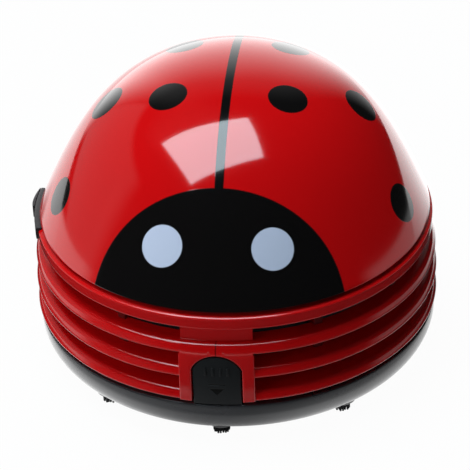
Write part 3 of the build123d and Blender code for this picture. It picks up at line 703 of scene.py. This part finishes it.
def build_fins():
    """Top fin with an upright face, and leaning louvre blades below it."""
    out, low, inner = FIN_RADII[0], FIN_LOWS[0], FIN_INNER
    lip = [(out, low), (out, RING_TOP), (inner, RING_TOP + FIN_RISE), (inner, low + FIN_RISE)]
    ring_piece(lathed(lip, [((0, 1), LIP_EDGE, 5)]), "fin_1", red_plastic)
    gap = PANEL_ANGLE - PANEL_LAP
    rounds = [((0,), FIN_EDGE, 5), ((1,), FIN_SHOULDER, 8)]
    for index in range(1, FIN_COUNT):
        out, low = FIN_RADII[index], FIN_LOWS[index]
        top = low + FIN_FACE
        blade = [
            (out + FIN_TRIM, low), (out - FIN_LEAN, top), (inner, top + FIN_RISE),
            (inner, low + FIN_RISE),
        ]
        stretches = [(gap, 360 - 2 * gap)] if index < FIN_COUNT - 1 else notched(gap)
        ring_piece(swept(blade, rounds, stretches, 16), "fin_%d" % (index + 1), red_plastic)


def shoulder_line():
    """Panel's face from its foot to the second fin's inner edge: (radius, height) points."""
    out, low = FIN_RADII[1], FIN_LOWS[1]
    corner = Vector((out - FIN_LEAN, low + FIN_FACE))
    inner = Vector((FIN_INNER, low + FIN_FACE + FIN_RISE))
    tip = Vector((out, low))
    up, back = (tip - corner).normalized(), (inner - corner).normalized()
    turn = up.angle(back)
    reach = FIN_SHOULDER / tan(turn / 2)
    middle = corner + (up + back).normalized() * FIN_SHOULDER / sin(turn / 2)
    first, last = corner + up * reach - middle, corner + back * reach - middle
    swing = first.angle(last) / SHOULDER_STEPS
    points = [Vector((r, z)) for r, z in zip(FIN_RADII[:0:-1], FIN_LOWS[:0:-1])]
    for step in range(SHOULDER_STEPS + 1):
        points.append(middle + Matrix.Rotation(swing * step, 2) @ first)
    return points + [inner]


def panel_place(line, run, depth):
    """(radius, height) at a distance up the panel's face and a depth behind it."""
    left = run
    for first, second in zip(line, line[1:]):
        length = (second - first).length
        if left <= length or second is line[-1]:
            face = first.lerp(second, min(1.0, max(0.0, left / length)))
            break
        left -= length
    back = min(RING_RADIUS - PANEL_DEPTH, face.x)
    behind = Vector((back, min(face.y, FIN_LOWS[1] + FIN_SHOULDER)))
    return face.lerp(behind, depth)


def sliced(bm, levels, normal):
    """Cuts a mesh at several levels along a direction."""
    for level in levels:
        geom = bm.verts[:] + bm.edges[:] + bm.faces[:]
        spot = [c * level for c in normal]
        bmesh.ops.bisect_plane(bm, geom=geom, dist=0.0001, plane_co=spot, plane_no=normal)


def strips(reach, step=0.6):
    return [index * step for index in range(-int(reach / step), int(reach / step) + 1)]


def arch(half, spring, top, steps=16):
    """Points over an arch from right to left."""
    rise = top - spring
    radius = (half * half + rise * rise) / (2 * rise)
    spread = acos((radius - rise) / radius)
    turns = [spread * (1 - 2 * i / steps) for i in range(steps + 1)]
    return [(radius * sin(turn), top - radius + radius * cos(turn)) for turn in turns]


def build_panel():
    """Solid stretch at the front with the arched window, open at its foot."""
    line = shoulder_line()
    runs = [0.0]
    for first, second in zip(line, line[1:]):
        runs.append(runs[-1] + (second - first).length)
    half = radians(PANEL_ANGLE) * RING_RADIUS
    foot, fin_run, top_run = FIN_LOWS[-1], runs[2], runs[-1]
    window = TAB_HALF + WINDOW_GAP
    over = arch(window, TAB_SPRING, TAB_TOP + WINDOW_GAP)
    bm = bmesh.new()
    outline(bm, [
        (-half, 0), (-half, fin_run), (-half, top_run), (half, top_run), (half, fin_run), (half, 0),
        (window, 0), *[(x, z - foot) for x, z in over], (-window, 0),
    ])
    raised(bm, (0, -1, 0))

    def soft(edge):
        """Whether a front edge lies below the second fin or round the window."""
        spots = [v.co for v in edge.verts]
        front = all(abs(spot.y) < 0.001 for spot in spots)
        low = all(spot.z < fin_run + 0.001 for spot in spots)
        at_window = all(abs(spot.x) < window + 0.001 and spot.z < top_run - 1 for spot in spots)
        return front and (low or at_window)

    edges = [e for e in bm.edges if soft(e)]
    for vert in bm.verts:
        vert.co.y *= PANEL_DEPTH
    softened(bm, PANEL_EDGE, 3, edges)
    for vert in bm.verts:
        vert.co.y /= PANEL_DEPTH
    sliced(bm, strips(half), (1, 0, 0))
    sliced(bm, runs[1:-1], (0, 0, 1))
    for vert in bm.verts:
        radius, height = panel_place(line, vert.co.z, -vert.co.y)
        vert.co = around(degrees(vert.co.x / RING_RADIUS), radius, height)
    outward(bm)
    ring_piece(bm, "front_panel", panel_finish())


def build_recess():
    """Set-back wall that closes the top slot behind the panel."""
    outer = FIN_RADII[0] - RECESS_DEPTH
    low, high = FIN_LOWS[1] + RECESS_RISE, FIN_LOWS[0] + RECESS_RISE
    section = oblong(outer - RECESS_WALL, outer, low, high)
    bm = lathed(section, [((3, 0), 0.2, 3)], -PANEL_ANGLE, 2 * PANEL_ANGLE, 24)
    ring_piece(bm, "slot_wall", red_plastic)


def build_ring_core():
    """What carries the fins: top band, dome seat, spigot and skirt."""
    seat_in = DOME_FOOT - DOME_WALL / cos(DOME_LEAN)
    spigot = seat_in - SPIGOT_HEIGHT * tan(DOME_LEAN) - SPIGOT_CLEAR
    spigot_top = DOME_FOOT_Z + SPIGOT_HEIGHT
    seat_out = seat_in + SEAT_LAP
    band_out = FIN_RADII[0] - 2 * LIP_EDGE
    low, high = FIN_LOWS[0] + FIN_RISE, RING_TOP - 0.01
    section = [
        (RIB_IN, low), (band_out, low), (band_out, high), (seat_out, high),
        (seat_out, DOME_FOOT_Z), (spigot, DOME_FOOT_Z), (spigot, spigot_top), (RIB_IN, spigot_top),
    ]
    ring_piece(lathed(section, [((6, 7), 0.3, 3)]), "top_band", painted_shade_red)
    skirt = oblong(FIN_INNER, FIN_INNER + SKIRT_WALL, BAND_TOP, FIN_LOWS[-1] + 1)
    gap = degrees(asin((TAB_HALF + WINDOW_GAP) / FIN_INNER))
    ring_piece(swept(skirt, [((0,), 0.25, 3)], notched(gap), 12), "skirt", painted_shade_red)


def build_ribs():
    """Upright ribs inside the fins, with softened edges."""
    bm = bmesh.new()
    far = RIB_IN + RIB_DEPTH + RIB_LAP
    for angle in range(RIB_SPACING, 360, RIB_SPACING):
        add_bar(bm, angle, RIB_WIDTH, RIB_IN, far, RIB_LOW, RING_TOP)
    ring_piece(bm, "ribs", painted_shade_red)


def build_lugs():
    """Screw lugs on three of the ribs: a drilled boss and the arm that holds it."""
    bm = bmesh.new()
    near, far = LUG_CIRCLE + LUG_HOLE + 0.6, FIN_INNER + RIB_LAP
    for rib in LUG_RIBS:
        angle = rib * RIB_SPACING
        section = oblong(LUG_HOLE, LUG_RADIUS, LUG_LOW, LUG_HIGH)
        boss = lathed(section, [((1, 2), 0.3, 3)], steps=36)
        merged(bm, boss, moved(*around(angle, LUG_CIRCLE)))
        add_bar(bm, angle, LUG_ARM, near, far, LUG_LOW + 0.05, LUG_HIGH - 0.05)
    ring_piece(bm, "lugs", painted_shade_red)


def build_barrel():
    """Hinge barrel at the back, bored for the tray's stubs."""
    bore = STUB_RADIUS + HINGE_FIT
    section = oblong(bore, bore + HINGE_WALL, -BARREL_HALF, BARREL_HALF)
    bm = lathed(section, [(range(4), 0.2, 3)], steps=48)
    stand = moved(0, HINGE_Y, HINGE_Z) @ turned(90, "Y")
    bmesh.ops.transform(bm, matrix=stand, verts=bm.verts)
    ring_piece(bm, "hinge_barrel", red_plastic)


build_fins()
build_panel()
build_recess()
build_ring_core()
build_ribs()
build_lugs()
build_barrel()


# ==== dust tray ====
def build_tray():
    """Black band with a rounded foot, a lip for the filter and a tube round the inlet."""
    upstand_out = FIN_INNER - UPSTAND_CLEAR
    upstand_in = upstand_out - UPSTAND_WALL
    lip = upstand_in - UPSTAND_WALL
    top = BAND_TOP + UPSTAND_HEIGHT
    inner = BAND_RADIUS - TRAY_WALL
    under, floor = BAND_TOP - TRAY_FLOOR, TRAY_UNDER + TRAY_FLOOR
    tube, tube_top = INLET_RADIUS + INLET_WALL, floor + INLET_HEIGHT
    section = [
        (INLET_RADIUS, TRAY_UNDER), (BAND_RADIUS, TRAY_UNDER), (BAND_RADIUS, BAND_TOP),
        (upstand_out, BAND_TOP), (upstand_out, top), (upstand_in, top), (upstand_in, BAND_TOP),
        (lip, BAND_TOP), (lip, under), (inner, under), (inner, floor),
        (tube, floor), (tube, tube_top), (INLET_RADIUS, tube_top),
    ]
    rounds = [
        ((1,), TRAY_CORNER, 14), ((2,), 0.35, 4), ((10,), TRAY_CORNER - TRAY_WALL, 8),
        ((4, 5, 12, 13), 0.3, 3), ((0,), 0.5, 4),
    ]
    tray_piece(lathed(section, rounds), "tray")


def tuft_spots():
    """Where the bristle tufts stand, evenly round the foot, the first one at the front."""
    circle = BAND_RADIUS - TUFT_INSET
    return [around(360 / TUFT_COUNT * index, circle) for index in range(TUFT_COUNT)]


def build_tuft_bosses():
    """Short bosses that hold the tufts."""
    bm = bmesh.new()
    low, high = TRAY_UNDER + 0.8, TRAY_UNDER + 4.0
    for spot in tuft_spots():
        section = oblong(TUFT_RADIUS, TUFT_BOSS, low, high)
        boss = lathed(section, [((0, 1), 0.25, 3)], steps=32)
        merged(bm, boss, moved(*spot))
    tray_piece(bm, "tuft_bosses")


def build_ears():
    """Two ears behind the upstand with stubs that turn in the ring's barrel."""
    bm = bmesh.new()
    radius = STUB_RADIUS + HINGE_FIT + HINGE_WALL
    top = [(radius * sin(radians(a)), radius * cos(radians(a))) for a in range(90, -91, -10)]
    foot = BAND_TOP - 0.8 - HINGE_Z
    length = STUB_REACH + STUB_ROOT
    face = BARREL_HALF + EAR_GAP
    for side in (-1, 1):
        ear = bmesh.new()
        outline(ear, top + [(-radius, foot), (radius, foot)])
        raised(ear, (0, EAR_THICK, 0))
        softened(ear, 0.2)
        right = face + EAR_THICK if side > 0 else -face
        merged(bm, ear, moved(right, HINGE_Y, HINGE_Z) @ turned(90))
        stub = lathed(oblong(0, STUB_RADIUS, 0, length), [((1, 2), 0.2, 3)], steps=32)
        root = side * (face + STUB_ROOT)
        merged(bm, stub, moved(root, HINGE_Y, HINGE_Z) @ turned(-90 * side, "Y"))
    for vert in bm.verts:
        if vert.co.xy.length > RING_RADIUS:
            vert.co.xy = vert.co.xy.normalized() * RING_RADIUS
    tray_piece(bm, "hinge_ears")


def build_tufts():
    """Bundles of stiff bristles with uneven ends."""
    chance = Random(7)
    bm = bmesh.new()
    for spot in tuft_spots():
        for ring, count in enumerate(BRISTLES):
            reach = (TUFT_RADIUS - BRISTLE_RADIUS) * ring / (len(BRISTLES) - 1)
            for index in range(count):
                angle = 360 * index / count + chance.uniform(-6, 6)
                root = around(angle, reach, TUFT_TOP)
                tip = around(angle, reach * BRISTLE_SPLAY, chance.uniform(0.0, BRISTLE_UNEVEN))
                length = (root - tip).length
                bristle = bmesh.new()
                bmesh.ops.create_cone(
                    bristle, cap_ends=True, cap_tris=False, segments=6,
                    radius1=BRISTLE_RADIUS * 0.75, radius2=BRISTLE_RADIUS, depth=length,
                )
                for vert in bristle.verts:
                    along = tip.lerp(root, vert.co.z / length + 0.5)
                    vert.co = Vector((vert.co.x, vert.co.y, 0)) + along
                merged(bm, bristle, moved(*spot))
    finished(bm, "bristles", "tray", "bristle_tufts", [bristle_nylon])


build_tray()
build_tuft_bosses()
build_ears()
build_tufts()


# ==== release tab ====
def bent(bm, radius):
    """Bends a flat plate that faces -Y round the ring; y is the depth behind its face."""
    reach = max(abs(v.co.x) for v in bm.verts)
    sliced(bm, strips(reach), (1, 0, 0))
    for vert in bm.verts:
        vert.co = around(degrees(vert.co.x / radius), radius + vert.co.y, vert.co.z)


def build_tab():
    """Arched thumb tab with a row of small grip bars."""
    bm = bmesh.new()
    over = arch(TAB_HALF, TAB_SPRING, TAB_TOP)
    outline(bm, [(TAB_HALF, TAB_FOOT), *over, (-TAB_HALF, TAB_FOOT)])
    raised(bm, (0, -TAB_THICK, 0))
    softened(bm, 0.2, 3, [e for e in bm.edges if all(abs(v.co.y) < 0.001 for v in e.verts)])
    low, high = GRIP_Z - GRIP_HEIGHT / 2, GRIP_Z + GRIP_HEIGHT / 2
    for index in range(GRIP_COUNT):
        grip = bmesh.new()
        middle = (index - (GRIP_COUNT - 1) / 2) * GRIP_PITCH
        outline(grip, oblong(middle - GRIP_WIDTH / 2, middle + GRIP_WIDTH / 2, low, high))
        raised(grip, (0, -1, 0))
        softened(grip, 0.12, 3)
        merged(bm, grip, moved(0, GRIP_PROUD, 0))
    bent(bm, BAND_RADIUS)
    outward(bm)
    finished(bm, "tab", "release_tab", "release_tab", [tab_finish()])


build_tab()


# ==== thumb switch ====
def build_plate():
    """Curved black plate let into the top fin, with the slot for the knob's stem."""
    out = RING_RADIUS - KNOB_PROUD
    middle = radians((PLATE_FRONT + PLATE_BACK) / 2)
    half = radians(PLATE_FRONT - PLATE_BACK) / 2 * out
    back = radians(KNOB_ANGLE - SLOT_HALF) * out - middle * out
    front = radians(KNOB_ANGLE + KNOB_TRAVEL + SLOT_HALF) * out - middle * out
    low, high = KNOB_LOW, KNOB_LOW + KNOB_HEIGHT
    slot_low, slot_high = low + SLOT_INSET, high - SLOT_INSET
    bm = bmesh.new()
    for corners in (
        oblong(-half, back, low, high), oblong(back, front, low, slot_low),
        oblong(back, front, slot_high, high), oblong(front, half, low, high),
    ):
        bm.faces.new([bm.verts.new((x, 0, z)) for x, z in corners])
    sliced(bm, [slot_low, slot_high], (0, 0, 1))
    bmesh.ops.remove_doubles(bm, verts=bm.verts, dist=0.0005)
    pulled(bm, (0, -PLATE_THICK, 0))
    softened(bm, 0.12, 2)
    bent(bm, out)
    bmesh.ops.rotate(bm, verts=bm.verts, matrix=Matrix.Rotation(middle, 3, "Z"))
    outward(bm)
    finished(bm, "switch_bezel", "upper_body", "switch_plate", [knob_plastic])


def build_knob():
    """Lens-shaped knob, highest near its front end, with a stem."""
    base = RING_RADIUS - KNOB_PROUD + KNOB_CLEAR
    proud = RING_RADIUS - base
    bm = bmesh.new()
    top = []
    for step in range(KNOB_STEPS + 1):
        share = step / KNOB_STEPS
        angle = KNOB_ANGLE + KNOB_HALF * (2 * share - 1)
        if share < KNOB_CREST:
            rise = KNOB_BACK + (proud - KNOB_BACK) * sin(pi / 2 * share / KNOB_CREST)
        else:
            past = (share - KNOB_CREST) / (1 - KNOB_CREST)
            rise = KNOB_FRONT + (proud - KNOB_FRONT) * cos(pi / 2 * past)
        top.append(around(angle, base + rise))
    bottom = [around(KNOB_ANGLE + KNOB_HALF * (1 - 2 * step / 8), base) for step in range(9)]
    outline(bm, [(p.x, p.y) for p in top + bottom], "XY")
    raised(bm, (0, 0, KNOB_HEIGHT))
    softened(bm, 0.15, 3, angle=35)
    bmesh.ops.translate(bm, verts=bm.verts, vec=(0, 0, KNOB_LOW))
    inner = RIB_IN - STEM_INSET
    width = 2 * radians(STEM_HALF) * inner
    low = KNOB_LOW + (KNOB_HEIGHT - STEM_HEIGHT) / 2
    add_bar(bm, KNOB_ANGLE, width, inner, base + 0.1, low, low + STEM_HEIGHT, 0.12, 2)
    finished(bm, "knob", "switch_knob", "switch_knob", [knob_plastic])


build_plate()
build_knob()


# ==== pieces inside ====
def build_cells():
    """Two cells with rounded ends, a nub and metal end faces."""
    sleeve = cell_sleeve()
    bare = drawn_metal("cell_end_metal", (0.66, 0.66, 0.64), 0.25, (1, 1, 1), 500.0).material
    for name, nub_end in (("cell_left", 1), ("cell_right", -1)):
        low, high = low_high(name)
        length = high[1] - low[1] - NUB_HEIGHT
        whole = length + NUB_HEIGHT
        radius = (high[2] - low[2]) / 2
        section = oblong(0, radius, 0, length)[:3] + [
            (NUB_RADIUS, length), (NUB_RADIUS, whole), (0, whole),
        ]
        rounds = [((1, 2), CELL_EDGE, 5), ((4,), 0.35, 4)]
        bm = lathed(section, rounds, steps=96, closed=False)
        for face in bm.faces:
            off_axis = face.calc_center_median().xy.length
            face.material_index = int(off_axis < radius - CELL_CRIMP)
        flat_end = low[1] if nub_end > 0 else high[1]
        foot = moved((low[0] + high[0]) / 2, flat_end, (low[2] + high[2]) / 2)
        bmesh.ops.transform(bm, matrix=foot @ turned(-90 * nub_end, "X"), verts=bm.verts)
        finished(bm, name + "_body", "upper_body", name, [sleeve, bare])


def build_springs():
    """Coil springs between the cells' flat ends and their contacts."""
    bm = bmesh.new()
    low, high = low_high("contact_springs")
    radius = (high[2] - low[2]) / 2
    middle = (low[2] + high[2]) / 2
    reach = high[0] - radius
    wire = SPRING_WIRE / 2
    steps = SPRING_TURNS * SPRING_STEPS
    swings = [2 * pi * index / SPRING_SIDES for index in range(SPRING_SIDES)]
    for side in (-1, 1):
        start = side * (high[1] - wire)
        pitch = -side * (SPRING_LENGTH - SPRING_WIRE)
        rings = []
        for step in range(steps + 1):
            share = step / steps
            turn = 2 * pi * SPRING_TURNS * share
            out = Vector((cos(turn), 0, sin(turn)))
            centre = Vector((side * reach, start + pitch * share, middle)) + out * (radius - wire)
            spots = [centre + wire * (out * cos(a) + Vector((0, sin(a), 0))) for a in swings]
            rings.append([bm.verts.new(spot) for spot in spots])
        for first, second in zip(rings, rings[1:]):
            for index in range(SPRING_SIDES):
                after = (index + 1) % SPRING_SIDES
                bm.faces.new((first[index], first[after], second[after], second[index]))
        bm.faces.new(rings[0])
        bm.faces.new(rings[-1][::-1])
    outward(bm)
    finished(bm, "coil_springs", "upper_body", "contact_springs", [nickel])


def build_screws(name, spots, head_side=1):
    """Pan-head screws with rounded heads, on top or (head_side -1) at the lower end."""
    low, high = low_high(name)
    tip, top = (low[2], high[2]) if head_side > 0 else (high[2], low[2])
    seat = top - head_side * HEAD_HEIGHT
    bm = bmesh.new()
    bm.loops.layers.uv.new("head")
    section = [
        (0, tip), (SCREW_RADIUS, tip), (SCREW_RADIUS, seat), (HEAD_WIDE, seat),
        (HEAD_WIDE, top), (0, top),
    ]
    for spot in spots:
        rounds = [((4,), HEAD_ROUND, 6), ((1,), 0.3, 2)]
        screw = lathed(section, rounds, steps=40, closed=False)
        layer = screw.loops.layers.uv.new("head")
        for face in screw.faces:
            inside = abs(face.calc_center_median().z - top) < HEAD_ROUND
            for loop in face.loops:
                loop[layer].uv = loop.vert.co.xy if inside else (9, 9)
        merged(bm, screw, moved(*spot))
    finished(bm, name + "_pan", "upper_body", name, [zinc])


def dressed(material, *nodes):
    """Gives carried-over pieces a procedural finish."""
    for node in nodes:
        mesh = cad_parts[node].data
        mesh.materials.clear()
        mesh.materials.append(material)


build_cells()
build_springs()
lug_spots = [around(rib * RIB_SPACING, LUG_CIRCLE) for rib in LUG_RIBS]
build_screws("deck_screws", lug_spots)
build_screws("shroud_screws", lug_spots, -1)
clamp_reach = low_high("clamp_screws")[1][1] - HEAD_WIDE
build_screws("clamp_screws", [Vector((0, side * clamp_reach, 0)) for side in (-1, 1)])

for name, color, roughness, grain, grain_scale, specular, nodes in (
    ("inner_dark_plastic", (0.018, 0.018, 0.02), 0.55, 0.25, 1800, 0.25, "battery_deck fan_shroud"),
    ("frame_grey_plastic", (0.045, 0.045, 0.050), 0.5, 0.2, 1800, 0.3, "filter_frame"),
    ("white_plastic", (0.70, 0.69, 0.65), 0.38, 0.12, 1500, 0.5, "motor_endcap"),
    ("impeller_plastic", (0.62, 0.61, 0.57), 0.3, 0.06, 1200, 0.5, "impeller"),
    ("red_wire_cover", (0.42, 0.012, 0.012), 0.42, 0.05, 900, 0.5, "wire_plus wire_switched"),
    ("black_wire_cover", (0.012, 0.012, 0.012), 0.42, 0.05, 900, 0.5, "wire_minus"),
):
    finish = plastic(name, color, roughness, 0.0, grain, grain_scale, specular)
    dressed(finish.material, *nodes.split())
for node, name, color, roughness, stretch, scale in (
    ("motor_can", "motor_can_steel", (0.60, 0.60, 0.58), 0.26, (1, 1, 0.03), 1200.0),
    ("motor_terminals", "terminal_brass", (0.78, 0.56, 0.24), 0.25, (1, 1, 0.1), 900.0),
    ("motor_clamp", "clamp_steel", (0.55, 0.55, 0.54), 0.3, (0.04, 1, 1), 900.0),
    ("motor_shaft", "shaft_steel", (0.68, 0.68, 0.67), 0.15, (1, 1, 0.02), 900.0),
    ("switch_body", "switch_case_steel", (0.58, 0.58, 0.56), 0.3, (1, 0.04, 1), 900.0),
):
    dressed(drawn_metal(name, color, roughness, stretch, scale).material, node)
dressed(nickel, "bridge_contact", "plus_contact", "minus_contact")
dressed(woven_cloth(), "filter_cloth")
dressed(copper_winding(), "motor_armature")


# ==== camera, light and floor, in metres ====
LENS = 156.54  # millimetres
CAMERA_PLACE = (0.04124, -0.36272, 0.26137)
CAMERA_RIGHT = (0.99355, 0.11338, 0)
CAMERA_BACK = (0.09491, -0.83170, 0.54697)
CAMERA_ROLL = 2.06  # degrees
FLOOR_HALF = 0.9
FLOOR_GREY = 0.6
FLOOR_GLOW = 0.97
NEAR_GLOW = 1.15
NEAR_FLOOR = 0.13  # share of the near glow that reaches out to the dark stretch
FOOT_FLOOR = 0.28  # what is added to it close to the foot
LEFT_GLOW = 2.6
RIGHT_GLOW = 1.6
FAR_GLOW = 1.15
FAR_RIGHT = (0.5, 1.25)    # far glow at the right: at the side, and added towards the back
DARK_FROM = 0.057
DARK_TO = 0.20
DARK_SHARE = 0.98
SOFTBOX = 6.4
SOFTBOX_COLOR = (0.8, 0.96, 1.04)
HAZE_GLOW = 1.75
HAZE_TAIL = 0.3
SIDE_GLOW = 0.5
SIDE_LEFT = 0.55
SIDE_END = 125.0  # degrees from the front at which the side bands end
SIDE_SLOPE = 0.0038  # height that a side band gains in one degree
PANEL_GLOW = 0.25
SHEET_DARK = 0.01
SHEET_HEIGHT = 0.9
SHEET_REACH = 0.55
SHEET_STEPS = 96
TOP_FILL = 4.0
LEFT_FILL = 1.9
FILL_SIZE = 0.5
ROOM_COLOR = (0.9, 0.93, 1.0)
ROOM_LIGHT = 0.03
ROOM_MIRRORED = 0.01


def build_camera():
    data = bpy.data.cameras.new("view")
    data.sensor_width = 36.0
    data.lens = LENS
    camera = placed("view", data)
    right, back = Vector(CAMERA_RIGHT), Vector(CAMERA_BACK).normalized()
    right = (right - back * right.dot(back)).normalized()
    up = back.cross(right)
    level = Matrix((right, up, back)).transposed().to_4x4()
    camera.matrix_world = Matrix.Translation(CAMERA_PLACE) @ level @ turned(-CAMERA_ROLL)
    bpy.context.scene.camera = camera


def floor_white():
    """Pale table: plain white to the eye; in reflections it glows unevenly, a painted reflection
    with a darker stretch in front as painted shade.
    """
    finish = new_finish("floor_white")
    math, ramp, product = finish.math, finish.ramp, finish.product
    finish.surface(Base_Color=[FLOOR_GREY] * 3, Roughness=0.6)
    across, along, _ = finish.axes()
    reach = finish.length(across, along)
    back, side = math("DIVIDE", along, reach), math("DIVIDE", across, reach)
    # painted shade in reflections: dark stretch in front and at the sides
    beyond_near = ramp(reach, DARK_FROM - 0.005, DARK_FROM + 0.005)
    front = product(ramp(reach, DARK_TO + 0.08, DARK_TO), ramp(back, 0.35, 0.1))
    flank = product(ramp(reach, 0.15, 0.12), ramp(back, 0.7, 0.5))
    dark = product(beyond_near, finish.largest(front, flank))
    # painted light in reflections: bright ring close to the foot, brighter at both sides
    left = product(ramp(side, 0.0, -0.8), LEFT_GLOW)
    right = product(ramp(side, 0.0, 0.6), RIGHT_GLOW)
    foot = math("ADD", NEAR_FLOOR, product(ramp(reach, 0.052, 0.0485), FOOT_FLOOR))
    close = product(math("ADD", math("ADD", left, right), NEAR_GLOW), foot)
    # level beyond the dark stretch
    far_right = math("ADD", FAR_RIGHT[0], product(ramp(back, 0.3, 0.85), FAR_RIGHT[1]))
    more = product(math("SUBTRACT", far_right, FAR_GLOW), ramp(side, -0.3, 0.3))
    lit = math("SUBTRACT", 1.0, product(dark, DARK_SHARE))
    away = product(lit, math("ADD", FAR_GLOW, more))
    bright = math("ADD", close, product(math("SUBTRACT", away, close), beyond_near))
    mirrored = finish.add("Emission", {"Strength": bright}).outputs[0]
    path = finish.add("LightPath", {}).outputs
    glow = finish.add("Emission", {}).outputs[0]
    seen = finish.choose(product(path["Is Camera Ray"], FLOOR_GLOW), finish.shader.outputs[0], glow)
    finish.show(finish.choose(path["Is Glossy Ray"], seen, mirrored))
    return finish.material


def staged(bm, name, material):
    """Puts a piece of the surroundings into the scene."""
    made = placed(name, as_mesh(bm, name))
    made.data.materials.append(material)
    return made


def build_floor():
    bm = bmesh.new()
    bmesh.ops.create_grid(bm, x_segments=1, y_segments=1, size=FLOOR_HALF)
    staged(bm, "floor", floor_white())


def area_lamp(name, place, target, width, depth, glow, turn=0.0):
    """Rectangular lamp whose face has a given brightness."""
    data = bpy.data.lights.new(name, "AREA")
    data.shape = "RECTANGLE"
    data.size = width
    data.size_y = depth
    data.energy = glow * pi * width * depth
    lamp = placed(name, data)
    aim = (Vector(target) - Vector(place)).to_track_quat("-Z", "Y").to_matrix().to_4x4()
    lamp.matrix_world = Matrix.Translation(place) @ aim @ turned(turn)
    lamp.visible_camera = False
    return lamp


def sheet_glow():
    """Brightness of the sheet round the object by direction and height."""
    finish = new_finish("sheet_glow")
    math, ramp, product = finish.math, finish.ramp, finish.product
    across, along, height = finish.axes()
    turn = product(math("ARCTAN2", across, product(along, -1.0)), 180 / pi)
    off = math("ABSOLUTE", turn)
    is_left = math("LESS_THAN", turn, 0.0)
    # pale haze at the back, fading upwards
    back = finish.largest(ramp(turn, 143, 174), ramp(turn, -130, -152))
    fade = product(ramp(height, 0.55, 0.0), HAZE_GLOW)
    tail = product(ramp(height, 0.9, 0.2), HAZE_TAIL)
    haze = product(back, math("ADD", fade, tail))
    # low bright band at both sides, rising towards the front
    limit = math("SUBTRACT", SIDE_END, product(is_left, 8.0))
    crest = product(math("SUBTRACT", limit, off), SIDE_SLOPE)
    below = ramp(math("SUBTRACT", height, crest), 0.006, -0.006)
    level = math("ADD", SIDE_GLOW, product(is_left, SIDE_LEFT))
    band = product(below, ramp(off, 72, 86), math("LESS_THAN", off, limit), level)
    # wide faint panel at the left
    wide = product(ramp(turn, -139, -133), ramp(turn, -70, -84))
    tall = product(ramp(height, 0.03, 0.05), ramp(height, 0.52, 0.44))
    panel = product(wide, tall, PANEL_GLOW)
    total = finish.largest(haze, band, panel, SHEET_DARK)
    finish.show(finish.add("Emission", {"Strength": total}).outputs[0])
    return finish.material


def build_sheet():
    """Upright round sheet about the object, seen only in its reflections."""
    bm = bmesh.new()
    angles = [360 / SHEET_STEPS * step for step in range(SHEET_STEPS)]
    low = [bm.verts.new(around(angle, SHEET_REACH, 0.0005)) for angle in angles]
    high = [bm.verts.new(around(angle, SHEET_REACH, SHEET_HEIGHT)) for angle in angles]
    for step in range(SHEET_STEPS):
        after = (step + 1) % SHEET_STEPS
        bm.faces.new((low[step], low[after], high[after], high[step]))
    sheet = staged(bm, "sheet", sheet_glow())
    for ray in ("camera", "diffuse", "shadow", "transmission"):
        setattr(sheet, "visible_" + ray, False)


def build_world():
    """Dim room, darker still in reflections, behind a white background."""
    world = bpy.data.worlds.new("studio")
    bpy.context.scene.world = world
    room = Finish(world)

    def backdrop(color, strength):
        return room.add("Background", {"Color": color, "Strength": strength}).outputs[0]

    path = room.add("LightPath", {}).outputs
    plain, mirrored = backdrop(ROOM_COLOR, ROOM_LIGHT), backdrop(ROOM_COLOR, ROOM_MIRRORED)
    dim = room.choose(path["Is Glossy Ray"], plain, mirrored)
    room.show(room.choose(path["Is Camera Ray"], dim, backdrop((1, 1, 1), 1.0)), "World")


def build_light():
    softbox = area_lamp(
        "softbox", (-0.1385, -0.030, 0.86), (0.0065, 0.012, 0.05), 0.49, 0.625, SOFTBOX, 7.3,
    )
    softbox.data.color = SOFTBOX_COLOR
    build_sheet()
    for name, place, glow in (
        ("top_fill", (-0.26, 0.2, 0.8), TOP_FILL), ("left_fill", (-0.5, -0.25, 0.12), LEFT_FILL),
    ):
        fill = area_lamp(name, place, (0, 0, 0.03), FILL_SIZE, FILL_SIZE, glow)
        fill.visible_glossy = False
    build_world()


build_camera()
build_floor()
build_light()
bpy.context.scene.view_settings.view_transform = "Standard"
